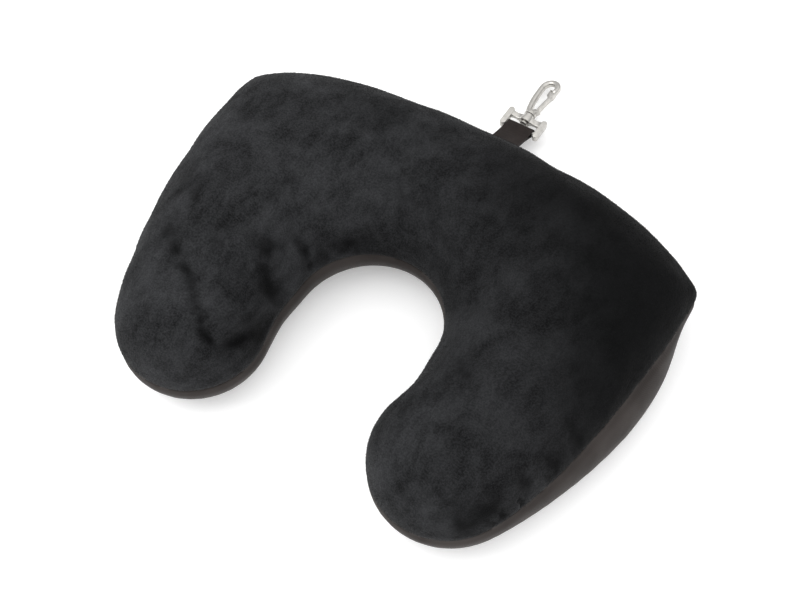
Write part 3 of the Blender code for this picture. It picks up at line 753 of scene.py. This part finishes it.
def to_line(points, line):
    """Distance in the plan from each point to a line, and how far along it the nearest place is."""
    best = np.full(len(points), 9.0)
    along = np.zeros(len(points))
    for index, (start, end) in enumerate(zip(line, line[1:])):
        start, way = np.array(start), np.subtract(end, start)
        part = np.clip((points - start) @ way / (way @ way), 0, 1)
        away = np.linalg.norm(points - start - part[:, None] * way, axis=1)
        nearer = away < best
        best[nearer] = away[nearer]
        along[nearer] = (index + part[nearer]) / (len(line) - 1)
    return best, along


def wobble(points, scale, seed=0.0):
    """Smooth noise at each point."""
    shift = Vector((seed, -seed, 2 * seed))
    return np.array([noise.noise(Vector(point) * scale + shift) for point in points])


def crush(points, sizes):
    """Depth of the crush marks at each point, and the painted shade in them."""
    depth = np.zeros(len(points))
    dark = np.zeros(len(points))
    above = smooth((points[:, 2] - seam_height(sizes, points) - 0.002) / 0.006)
    raggedness, unevenness, bend, deepening = 0.55, 0.9, 0.0028, 1.25
    ragged = 1 + raggedness * wobble(points, scale=160.0, seed=5.0)
    broken = np.clip(0.80 + unevenness * wobble(points, scale=110.0, seed=20.0), 0.30, 1)
    sway = np.column_stack([wobble(points, scale=50.0, seed=seed) for seed in (2.0, 12.0)])
    bent = points[:, :2] + bend * sway
    for line, deep, wide, shade in CREASES:
        away, along = to_line(bent, [(across, sizes.back - down) for across, down in line])
        taper = smooth(4 * along + 0.35) * smooth(4 * (1 - along) + 0.35)
        mark = np.exp(-((away / (wide * ragged)) ** 2)) * taper * above
        depth += deepening * deep * mark
        # Painted shade: each crease darkens the plush along its line.
        dark = np.maximum(dark, shade * mark * broken)
    return depth, dark


def painted_nap_shade(points, sizes):
    """Painted shade where brushing has laid the pile flat, away from the light: most towards the right of
    the back, least on the lobes.
    """
    middle, drift, fringe = 0.088, 0.020, 0.006
    place = TO_CORNER[0] * points[:, 0] + TO_CORNER[1] * (points[:, 1] - sizes.back + middle)
    place = place + drift * wobble(points, scale=16.0, seed=3.0)
    place = place + fringe * wobble(points, scale=60.0, seed=8.0)
    # Painted shade: a light darkening from the back's middle, and a full one towards its right corner.
    lightly, fully = smooth((place + 0.075) / 0.085), smooth((place - 0.005) / 0.105)
    return 0.26 * lightly + 0.70 * fully


def puckers(points, outline, distance, nearest):
    """Depth of the gathers beside the seam, deepest on the outer sides of the lobes, and the painted shade
    in them.
    """
    sizes = outline.sizes
    long_wave, short_wave = 0.0115, 0.0073
    gathered_x, gathered_back, gathered_reach = 0.142, 0.220, 0.048
    elsewhere, falloff, deepest, darkest = 0.05, 0.0085, 0.0011, 0.9
    run = outline.run[nearest] + 0.004 * wobble(points, scale=60.0, seed=9.0)
    wave = np.sin(run * 2 * math.pi / long_wave) + 0.6 * np.sin(run * 2 * math.pi / short_wave + 1.0)
    place = np.hypot(np.abs(points[:, 0]) - gathered_x, points[:, 1] - sizes.back + gathered_back)
    strength = elsewhere + np.exp(-((place / gathered_reach) ** 2))
    above = smooth((points[:, 2] - seam_height(sizes, points)) / 0.004)
    uneven = np.clip(0.6 + 1.4 * wobble(points, scale=45.0, seed=30.0), 0.1, 1.2)
    reach = 0.006 + 0.003 * wobble(points, scale=70.0, seed=40.0)
    mark = np.maximum(wave, 0) ** 1.5 * strength * above * uneven
    mark = mark * np.exp(-(((distance - reach) / falloff) ** 2))
    # Painted shade in the gathers, as strong as they are deep.
    return deepest * mark, darkest * np.minimum(mark, 1)


def crease(body, outline):
    """Draw the seam in, pinch the corners, and dent the plush where it has been squeezed."""
    points = coordinates(body.data)
    outward = coordinates(body.data, "normal")
    distance, nearest = near_seam(outline, points)
    drawn_in, drawn_wide = 0.0020, 0.0030
    depth = drawn_in * np.exp(-((distance / drawn_wide) ** 2))
    soft = smooth((points[:, 2] - 0.01) / 0.02) * smooth((distance - 0.010) / 0.030)
    lumps, ripples = 0.0006, 0.0002
    depth = depth + lumps * wobble(points, scale=24.0) * soft
    depth = depth + ripples * wobble(points, scale=80.0, seed=7.0) * soft
    depth = depth + crush(points, outline.sizes)[0] + puckers(points, outline, distance, nearest)[0]
    points = points - outward * depth[:, None]
    pinch, pinch_wide = 0.0018, 0.011
    for side in (-1, 1):
        tip = np.array((side * outline.corner[0], outline.corner[1]))
        away = points[:, :2] - tip
        pull = pinch * np.exp(-((np.linalg.norm(away, axis=1) / pinch_wide) ** 2))
        points[:, :2] += pull[:, None] * np.array((side * TO_CORNER[0], TO_CORNER[1]))
    points[:, 2] = np.maximum(points[:, 2], 0.0)
    set_coordinates(body.data, points)


def faces_out(data):
    """A copy of a shell's mesh that keeps only the faces of its outer side."""
    half = len(data.vertices) // 2

    def drop_inner(mesh):
        inner = [face for face in mesh.faces if any(vertex.index >= half for vertex in face.verts)]
        bmesh.ops.delete(mesh, geom=inner, context="FACES")

    kept = bpy.data.meshes.new("outer")
    rework(data, drop_inner, kept)
    return kept


def note(data, name, values):
    """Store one number per vertex for the materials."""
    layer = data.attributes.new(name, "FLOAT", "POINT")
    layer.data.foreach_set("value", np.asarray(values, np.float32))


# ---------------------------------------------------------------- node trees


class Tree:
    """A Geometry Nodes tree under construction, with named inputs."""

    def __init__(self, name, inputs):
        self.group = bpy.data.node_groups.new(name, "GeometryNodeTree")
        face = self.group.interface
        face.new_socket("Geometry", in_out="OUTPUT", socket_type="NodeSocketGeometry")
        for label, kind in {"Geometry": "Geometry", **inputs}.items():
            face.new_socket(label, in_out="INPUT", socket_type="NodeSocket" + kind)
        self.start = self.group.nodes.new("NodeGroupInput")

    def text(self, value):
        """A string on a wire, so that it isn't read as one of the tree's inputs."""
        made = self.group.nodes.new("FunctionNodeInputString")
        made.string = value
        return made.outputs[0]

    def node(self, kind, settings=None, inputs=None, output=0):
        """Add a node: its settings first, then values or links; strings name the tree's own inputs."""
        made = set_all(self.group.nodes.new(kind), **(settings or {}))
        for key, value in (inputs or {}).items():
            if isinstance(value, str):
                value = self.start.outputs[value]
            if isinstance(value, bpy.types.NodeSocket):
                self.group.links.new(value, made.inputs[key])
            else:
                made.inputs[key].default_value = value
        return made.outputs[output]

    def vector(self, operation, first, second):
        return self.node("ShaderNodeVectorMath", {"operation": operation}, {0: first, 1: second})

    def close(self, instances):
        """Realize the instances, give them their material and end the tree."""
        real = self.node("GeometryNodeRealizeInstances", {}, {0: instances})
        smoothed = self.node("GeometryNodeSetShadeSmooth", {}, {0: real})
        painted = self.node("GeometryNodeSetMaterial", {}, {0: smoothed, 2: "Material"})
        end = self.group.nodes.new("NodeGroupOutput")
        self.group.links.new(painted, end.inputs[0])

    def grow(self, name, data, values):
        """Run the tree on a mesh and return what it makes as a plain mesh object."""
        made = show(name, data)
        step = made.modifiers.new(name, "NODES")
        step.node_group = self.group
        for item in self.group.interface.items_tree:
            if item.in_out == "INPUT" and item.name in values:
                step[item.identifier] = values[item.name]
        bake(made)
        if not made.data.polygons:
            raise RuntimeError(f"{name} came out empty")
        return made


def pile_tree():
    """Tufts scattered on a cloth and laid over by a slow noise, like brushing."""
    sizes = dict.fromkeys(("Density", "Length", "Width", "Lean"), "Float")
    tree = Tree("pile", {**sizes, "Seed": "Int", "Material": "Material"})
    spread = {"Mesh": "Geometry", "Density": "Density", "Seed": "Seed"}
    points = tree.node("GeometryNodeDistributePointsOnFaces", {}, spread)
    upright = points.node.outputs["Normal"]
    place = tree.node("GeometryNodeInputPosition")
    brushing = tree.node("ShaderNodeTexNoise", {}, {"Vector": place, "Scale": 17.0, "Detail": 2.0}, 1)
    swirl = tree.vector("SUBTRACT", brushing, (0.5, 0.5, 0.5))
    lean = tree.node("ShaderNodeVectorMath", {"operation": "SCALE"}, {0: swirl, "Scale": "Lean"})
    scatter = tree.node(
        "FunctionNodeRandomValue",
        {"data_type": "FLOAT_VECTOR"},
        {0: (-0.35, -0.35, -0.35), 1: (0.35, 0.35, 0.35), "Seed": "Seed"},
    )
    way = tree.vector("ADD", tree.vector("ADD", upright, lean), scatter)
    turn = tree.node("FunctionNodeAlignRotationToVector", {"axis": "Z"}, {"Vector": way})
    cone = {"Vertices": 3, "Radius Bottom": "Width", "Radius Top": 0.0, "Depth": "Length"}
    tuft = tree.node("GeometryNodeMeshCone", {"fill_type": "NGON"}, cone)
    on_points = {"Points": points, "Instance": tuft, "Rotation": turn}
    tree.close(tree.node("GeometryNodeInstanceOnPoints", {}, on_points))
    return tree


def weave_tree():
    """A rounded thread crown on every point, turned to the directions stored there."""
    tree = Tree("weave", {"Crown": "Vector", "Material": "Material"})
    upright, along = (
        tree.node("GeometryNodeInputNamedAttribute", {"data_type": "FLOAT_VECTOR"}, {0: label})
        for label in (tree.text("upright"), tree.text("along"))
    )
    turn = tree.node("FunctionNodeAxesToRotation", {}, {0: upright, 1: along})
    ball = tree.node("GeometryNodeMeshIcoSphere", {}, {"Radius": 1.0, "Subdivisions": 1})
    on_points = {"Points": "Geometry", "Instance": ball, "Rotation": turn, "Scale": "Crown"}
    tree.close(tree.node("GeometryNodeInstanceOnPoints", {}, on_points))
    return tree


class PILLOW_OT_pile(bpy.types.Operator):
    """Stand short pile, laid over by brushing, on the plush"""

    bl_idname = "pillow.pile"
    bl_label = "Pile"

    def execute(self, context):
        pile = context.scene.pillow_pile
        cover = bpy.data.objects["plush_cover"]
        outer = faces_out(cover.data)
        density = pile.per_area
        values = {"Density": density, "Length": pile.long, "Width": pile.wide}
        values.update({"Lean": pile.lean, "Seed": pile.seed, "Material": cover.data.materials[0]})
        tufts = pile_tree().grow("plush_pile", outer, values)
        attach(tufts, "pillow")
        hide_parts("plush_top_panel")
        return {"FINISHED"}


# ---------------------------------------------------------------- webbing


def axes(origin, across, along):
    """A frame at origin, with X across and Y along."""
    along = Vector(along).normalized()
    across = Vector(across).normalized()
    turn = Matrix((across, along, across.cross(along))).transposed()
    return Matrix.Translation(origin) @ turn.to_4x4()


def tape_path(sizes):
    """Middle line of the webbing in the Y-Z plane: out of the seam, round the bar and back."""
    slope = BAR_HINGE - SEAM_HINGE
    reach = slope.length
    ahead = np.array((slope.y, slope.z)) / reach
    above = np.array((-ahead[1], ahead[0]))
    seam = np.array((SEAM_HINGE.y, SEAM_HINGE.z))
    half = sizes.thick / 2
    lean = math.asin((sizes.wrap - half) / sizes.splay)
    fold = np.linspace(math.pi / 2 + lean, -math.pi / 2 - lean, 24)
    straight = np.linspace(0.0, reach - sizes.splay, 14)
    local = [(run, half) for run in straight]
    local += [(reach + sizes.wrap * math.cos(turn), sizes.wrap * math.sin(turn)) for turn in fold]
    local += [(run, -half) for run in straight[::-1]]
    line = [seam + ahead * run + above * up for run, up in local]
    tail = np.linspace(-sizes.tail, -0.0012, 5)
    start = [seam + (run, half) for run in tail]
    end = [seam + (run, -half) for run in tail[::-1]]
    line = np.array(start + line + end)
    for _ in range(3):
        line[1:-1] = (line[:-2] + 2 * line[1:-1] + line[2:]) / 4
    return line


def tape_grid(line, wide, cell, overhang=0.0):
    """Points of a strip along the line, with its upright and forward directions."""
    steps = np.linalg.norm(np.diff(line, axis=0), axis=1).sum()
    path = evenly(line, int(steps / cell) + 1)
    ahead = np.gradient(path, axis=0)
    ahead /= np.linalg.norm(ahead, axis=1)[:, None]
    across = np.linspace(-wide / 2 + overhang, wide / 2 - overhang, int(round(wide / cell)))
    count = len(across)
    points = np.column_stack((np.tile(across, len(path)), np.repeat(path, count, axis=0)))
    along = np.column_stack((np.zeros(len(points)), np.repeat(ahead, count, axis=0)))
    upright = np.column_stack((along[:, 0], -along[:, 2], along[:, 1]))
    return points, along, upright, count


def grid_mesh(name, points, count):
    rows = len(points) // count
    index = np.arange(rows * count).reshape(rows, count)
    faces = np.stack((index[:-1, :-1], index[:-1, 1:], index[1:, 1:], index[1:, :-1]), axis=-1)
    data = bpy.data.meshes.new(name)
    data.from_pydata(points.tolist(), [], faces.reshape(-1, 4).tolist())
    return data


class PILLOW_OT_webbing(bpy.types.Operator):
    """Weave the webbing loop and sew its ends into the back seam"""

    bl_idname = "pillow.webbing"
    bl_label = "Webbing"

    def execute(self, context):
        sizes = context.scene.pillow_webbing
        finish = webbing_finish(context.scene.pillow_finishes)
        line = tape_path(sizes)
        points, _, _, count = tape_grid(line, sizes.wide, 0.0008)
        tape = show("webbing_loop", grid_mesh("tape", points, count))
        set_all(tape.modifiers.new("thickness", "SOLIDIFY"), thickness=0.8 * sizes.thick, offset=0)
        bake(tape)
        tape.data.materials.append(finish)
        points, along, upright, _ = tape_grid(line, sizes.wide, sizes.thread, sizes.thread / 2)
        half = sizes.thread / 2
        data = bpy.data.meshes.new("crossings")
        data.from_pydata(points.tolist(), [], [])
        for label, values in (("along", along), ("upright", upright)):
            layer = data.attributes.new(label, "FLOAT_VECTOR", "POINT")
            layer.data.foreach_set("vector", values.astype(np.float32).ravel())
        crown = (1.15 * half, 0.95 * half, sizes.thick / 2)
        threads = weave_tree().grow("webbing_threads", data, {"Crown": crown, "Material": finish})
        for piece in (tape, threads):
            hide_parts("webbing_tab", "webbing_tail")
            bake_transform(piece)
        return {"FINISHED"}


# ---------------------------------------------------------------- hardware


class Forge:
    """Closed shells gathered into one metal piece."""

    def __init__(self):
        self.points = []
        self.faces = []

    def add(self, points, faces):
        first = len(self.points)
        self.points += [tuple(point) for point in points]
        self.faces += [tuple(first + index for index in face) for face in faces]

    def loft(self, loops):
        """A skin through equal loops, with both ends closed."""
        count = len(loops[0])
        faces = [tuple(range(count)), tuple(range(count * len(loops) - 1, count * (len(loops) - 1) - 1, -1))]
        for low in range(len(loops) - 1):
            for index in range(count):
                after = (index + 1) % count
                a, b = low * count, (low + 1) * count
                faces.append((a + index, b + index, b + after, a + after))
        self.add([point for loop in loops for point in loop], faces)

    def prism(self, outline, half):
        self.loft([[(x, y, z) for x, y in outline] for z in (-half, half)])

    def turned(self, profile, steps=40, sideways=False):
        """Turn (radius, distance) pairs about Y, or about X when sideways."""
        turns = np.linspace(0, 2 * math.pi, steps, endpoint=False)
        loops = []
        for radius, run in profile:
            ring = [(radius * math.cos(turn), run, radius * math.sin(turn)) for turn in turns]
            loops.append([(y, x, z) for x, y, z in ring] if sideways else ring)
        self.loft(loops)

    def piece(self, name, matrix, finish, rounding):
        data = bpy.data.meshes.new(name)
        data.from_pydata(self.points, [], self.faces)
        rework(data, turn_outwards)
        made = show(name, data)
        bevel = made.modifiers.new("rounding", "BEVEL")
        set_all(bevel, width=rounding, segments=3, limit_method="ANGLE", angle_limit=math.radians(40))
        bake(made)
        made.data.transform(matrix)
        made.data.shade_smooth()
        made.data.set_sharp_from_angle(angle=math.radians(38))
        made.data.materials.append(finish)
        return made


def round_end(centre, radius, first, last, count=16):
    return [tuple(point) for point in arc(np.array(centre), radius, first, last, count)]


def rounded_box(half_x, half_y, corner=0.45, count=5):
    """Corner-rounded rectangle, as (x, y) pairs."""
    radius = corner * min(half_x, half_y)
    outline = []
    for quarter in range(4):
        turn = quarter * math.pi / 2
        centre_x = (half_x - radius) * (1 if quarter in (0, 3) else -1)
        centre_y = (half_y - radius) * (1 if quarter in (0, 1) else -1)
        outline += round_end((centre_x, centre_y), radius, turn, turn + math.pi / 2, count)
    return outline


class PILLOW_OT_bracket(bpy.types.Operator):
    """Cast the swivel bracket: two rails, the bar, and a scooped crossbar with its boss"""

    bl_idname = "pillow.bracket"
    bl_label = "Bracket"

    def execute(self, context):
        sizes = context.scene.pillow_hardware
        forge = Forge()
        radius = sizes.rail_wide / 2
        for side in (-1, 1):
            centre = side * sizes.rail_x
            low = round_end((centre, sizes.rail_low), radius, -math.pi, 0)
            high = round_end((centre, sizes.rail_high), radius, 0, math.pi)
            forge.prism(low + high, sizes.rail_deep / 2)
        middle = (sizes.cross_low + sizes.cross_high) / 2
        tall = (sizes.cross_high - sizes.cross_low) / 2
        hollow = (sizes.boss + sizes.rail_x - radius) / 2
        reach = (sizes.rail_x - radius - sizes.boss) / 2
        loops = []
        for x in np.linspace(-sizes.rail_x, sizes.rail_x, 81):
            dip = max(0.0, 1 - ((abs(x) - hollow) / (reach * 1.05)) ** 2)
            deep = sizes.cross_deep / 2 - sizes.scoop * dip
            loops.append([(x, middle + y, z) for y, z in rounded_box(tall - 0.3 * sizes.scoop * dip, deep)])
        forge.loft(loops)
        forge.turned(
            ((0, sizes.cross_low - sizes.gap), (sizes.boss, sizes.cross_low - sizes.gap),
             (sizes.boss, sizes.boss_top), (0, sizes.boss_top))
        )
        end = sizes.rail_x + radius + sizes.gap
        forge.turned(((0, -end), (sizes.bar, -end), (sizes.bar, end), (0, end)), sideways=True)
        finish = metal_finish(context.scene.pillow_finishes)
        made = forge.piece("bracket_body", axes(BAR_HINGE, (1, 0, 0), STEM_AXIS), finish, 0.00055)
        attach(made, "bracket")
        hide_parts("swivel_bracket")
        return {"FINISHED"}


def loop_line(sizes):
    """Middle line of the hook's band, from the collar round to the nose."""
    start = (sizes.collar_low + sizes.collar_high) / 2
    side = sizes.loop
    root, flare, flare_up, side_pull = 0.0015, 0.0042, 0.006, 0.015
    spine = bezier(
        np.array((-root, start)),
        np.array((-flare, start + flare_up)),
        np.array((-side, sizes.loop_top - side_pull)),
        np.array((-side, sizes.loop_top)),
        30,
    )
    bend = arc(np.array((0, sizes.loop_top)), side, math.pi, 0, 40)
    nose = np.linspace(bend[-1], (side - 0.0003, sizes.loop_top - sizes.nose_long), 8)
    return np.vstack((spine, bend[1:], nose[1:]))


class PILLOW_OT_hook(bpy.types.Operator):
    """Cast the snap hook: stem, collar, open loop and the stub that its gate grows from"""

    bl_idname = "pillow.hook"
    bl_label = "Hook"

    def execute(self, context):
        sizes = context.scene.pillow_hardware
        forge = Forge()
        head = sizes.cross_low - 2 * sizes.gap
        below = head - 0.0016
        forge.turned(
            ((0, below), (sizes.head, below), (sizes.head, head), (sizes.stem, head),
             (sizes.stem, sizes.collar_low + sizes.gap), (0, sizes.collar_low + sizes.gap))
        )
        top = sizes.collar_high
        forge.turned(
            ((0, sizes.collar_low), (sizes.collar, sizes.collar_low), (sizes.collar, top), (0, top))
        )
        wide, narrow, step, crest = 0.0031, 0.0019, top + 0.0012, top + 0.0024
        sunk = top - 0.0004
        forge.turned(((0, sunk), (wide, sunk), (wide, step), (narrow, crest), (0, crest)))
        line = loop_line(sizes)
        ahead = np.gradient(line, axis=0)
        ahead /= np.linalg.norm(ahead, axis=1)[:, None]
        loops = []
        for index, (place, way) in enumerate(zip(line, ahead)):
            part = index / (len(line) - 1)
            thick = sizes.band + (sizes.nose - sizes.band) * float(smooth((part - 0.7) / 0.3))
            tip = 1 - 0.35 * float(smooth((part - 0.97) / 0.03))
            across = np.array((way[1], -way[0]))
            section = rounded_box(thick / 2 * tip, sizes.band_deep / 2 * tip, 0.8, 6)
            loops.append([(*(place + across * x), z) for x, z in section])
        forge.loft(loops)
        cup = round_end(
            (sizes.gate_x, sizes.gate_y), sizes.gate_arm / 2 + sizes.gap,
            math.radians(200), math.radians(350)
        )
        foot = (sizes.collar_low + sizes.collar_high) / 2
        cup_wall = 0.0009
        outer = (sizes.gate_x + sizes.gate_arm / 2 + sizes.gap + cup_wall, sizes.gate_y - 0.0016)
        inner = (0.0003, sizes.gate_y - 0.0018)
        forge.prism(cup + [outer, (0.0026, foot), (-0.0010, foot), inner], sizes.gate_deep / 2)
        finish = metal_finish(context.scene.pillow_finishes)
        made = forge.piece("hook_body", hook_axes(), finish, 0.0004)
        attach(made, "hook")
        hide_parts("snap_hook")
        return {"FINISHED"}


def hook_axes():
    return axes(BAR_HINGE, STEM_AXIS.cross(GATE_AXIS), STEM_AXIS)


class PILLOW_OT_gate(bpy.types.Operator):
    """Cast the springy gate with its stepped head"""

    bl_idname = "pillow.gate"
    bl_label = "Gate"

    def execute(self, context):
        sizes = context.scene.pillow_hardware
        nose = loop_line(sizes)[-1] - (sizes.gate_x, sizes.gate_y)
        head_top = nose[1] - sizes.gap
        head_out = nose[0] + sizes.nose / 2
        lip_out = nose[0] - sizes.nose / 2 - sizes.gap
        head_low = head_top - sizes.gate_head
        arm = sizes.gate_arm
        step, slope = 0.0009, 0.0008
        outline = round_end((0, 0), arm / 2, math.pi, 2 * math.pi) + [
            (head_out - step, head_low - slope),
            (head_out, head_low),
            (head_out, head_top),
            (lip_out, head_top),
            (lip_out, head_top + sizes.lip_long),
            (lip_out - sizes.lip, head_top + sizes.lip_long),
            (lip_out - sizes.lip, head_low + slope),
            (head_out - step - arm, head_low - slope),
        ]
        forge = Forge()
        forge.prism(outline, sizes.gate_deep / 2)
        finish = metal_finish(context.scene.pillow_finishes)
        hook = hook_axes()
        root = Matrix.Translation(GATE_HINGE) @ hook.to_3x3().to_4x4()
        made = forge.piece("gate_body", root, finish, 0.00028)
        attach(made, "gate")
        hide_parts("gate_tongue")
        return {"FINISHED"}


# ---------------------------------------------------------------- stage


class PILLOW_OT_stage(bpy.types.Operator):
    """Lay the floor, light it and stand the camera"""

    bl_idname = "pillow.stage"
    bl_label = "Stage"

    def execute(self, context):
        scene = context.scene
        settings = scene.pillow_stage
        floor = bpy.data.meshes.new("floor")
        half, low = 30.0, -0.0004
        corners = [(-half, -half, low), (half, -half, low), (half, half, low), (-half, half, low)]
        floor.from_pydata(corners, [], [(0, 1, 2, 3)])
        ground = show("floor", floor)
        finish = material("pale_floor", Base_Color=(0.92, 0.92, 0.92, 1), Roughness=0.9,
                          Emission_Color=(1, 1, 1, 1), Emission_Strength=0.22)
        floor.materials.append(finish.owner)
        scene.world = bpy.data.worlds.new("studio")
        sky = Finish(scene.world, "Background")
        way = sky.node("ShaderNodeTexCoord")
        up = sky.node("ShaderNodeSeparateXYZ", {}, {0: way}, 2)
        sky.feed("Color", up.between(-0.1, 0.9).blend((0.25, 0.25, 0.26), (1.45, 1.45, 1.45)))
        add_light("key", place=(-1.2, -0.5, 1.3), power=16, size=1.6)
        add_light("fill", place=(1.0, -1.2, 0.35), power=6, size=0.8)
        scene.view_settings.view_transform = "Standard"
        add_camera(scene, settings)
        return {"FINISHED"}


def add_light(name, place, power, size):
    made = show(name, set_all(bpy.data.lights.new(name, "AREA"), energy=power, size=size))
    made.location = place
    made.rotation_euler = Vector(place).to_track_quat("Z", "Y").to_euler()


def add_camera(scene, settings):
    lens = set_all(bpy.data.cameras.new("camera"), lens=settings.lens, sensor_width=36, clip_start=0.05)
    camera = show("camera", lens)
    aim = Vector((0.01255, scene.pillow_sizes.back - 0.1381, 0.040))
    flat = math.cos(settings.elevation)
    sideways, forwards = math.sin(settings.azimuth), math.cos(settings.azimuth)
    back = Vector((sideways * flat, -forwards * flat, math.sin(settings.elevation)))
    right = (-back).cross(Vector((0, 0, 1))).normalized()
    up = right.cross(-back)
    turn = Matrix.Rotation(settings.roll, 3, back)
    facing = Matrix((turn @ right, turn @ up, back)).transposed()
    camera.matrix_world = Matrix.LocRotScale(aim + back * settings.distance, facing.to_quaternion(), None)
    scene.camera = camera


class PILLOW_PT_panel(bpy.types.Panel):
    """The steps of the pillow"""

    bl_idname = "PILLOW_PT_panel"
    bl_label = "Travel Pillow"
    bl_space_type = "VIEW_3D"
    bl_region_type = "UI"
    bl_category = "Pillow"

    def draw(self, context):
        for step in STEPS:
            self.layout.operator(step.bl_idname)


STEPS = (
    PILLOW_OT_cover,
    PILLOW_OT_pile,
    PILLOW_OT_webbing,
    PILLOW_OT_bracket,
    PILLOW_OT_hook,
    PILLOW_OT_gate,
    PILLOW_OT_stage,
)
GROUPS = {
    "pillow_sizes": PillowSizes,
    "pillow_stuffing": StuffingSizes,
    "pillow_pile": PileSizes,
    "pillow_webbing": WebbingSizes,
    "pillow_hardware": HardwareSizes,
    "pillow_finishes": Finishes,
    "pillow_stage": StageSettings,
}


def register():
    for group in (*GROUPS.values(), *STEPS, PILLOW_PT_panel):
        bpy.utils.register_class(group)
    for name, group in GROUPS.items():
        setattr(bpy.types.Scene, name, PointerProperty(type=group))


def unregister():
    for name in GROUPS:
        delattr(bpy.types.Scene, name)
    for group in (PILLOW_PT_panel, *STEPS, *GROUPS.values()):
        bpy.utils.unregister_class(group)


def main():
    register()
    bpy.ops.pillow.cover()
    bpy.ops.pillow.pile()
    bpy.ops.pillow.webbing()
    bpy.ops.pillow.bracket()
    bpy.ops.pillow.hook()
    bpy.ops.pillow.gate()
    bpy.ops.pillow.stage()


if __name__ == "__main__":
    main()
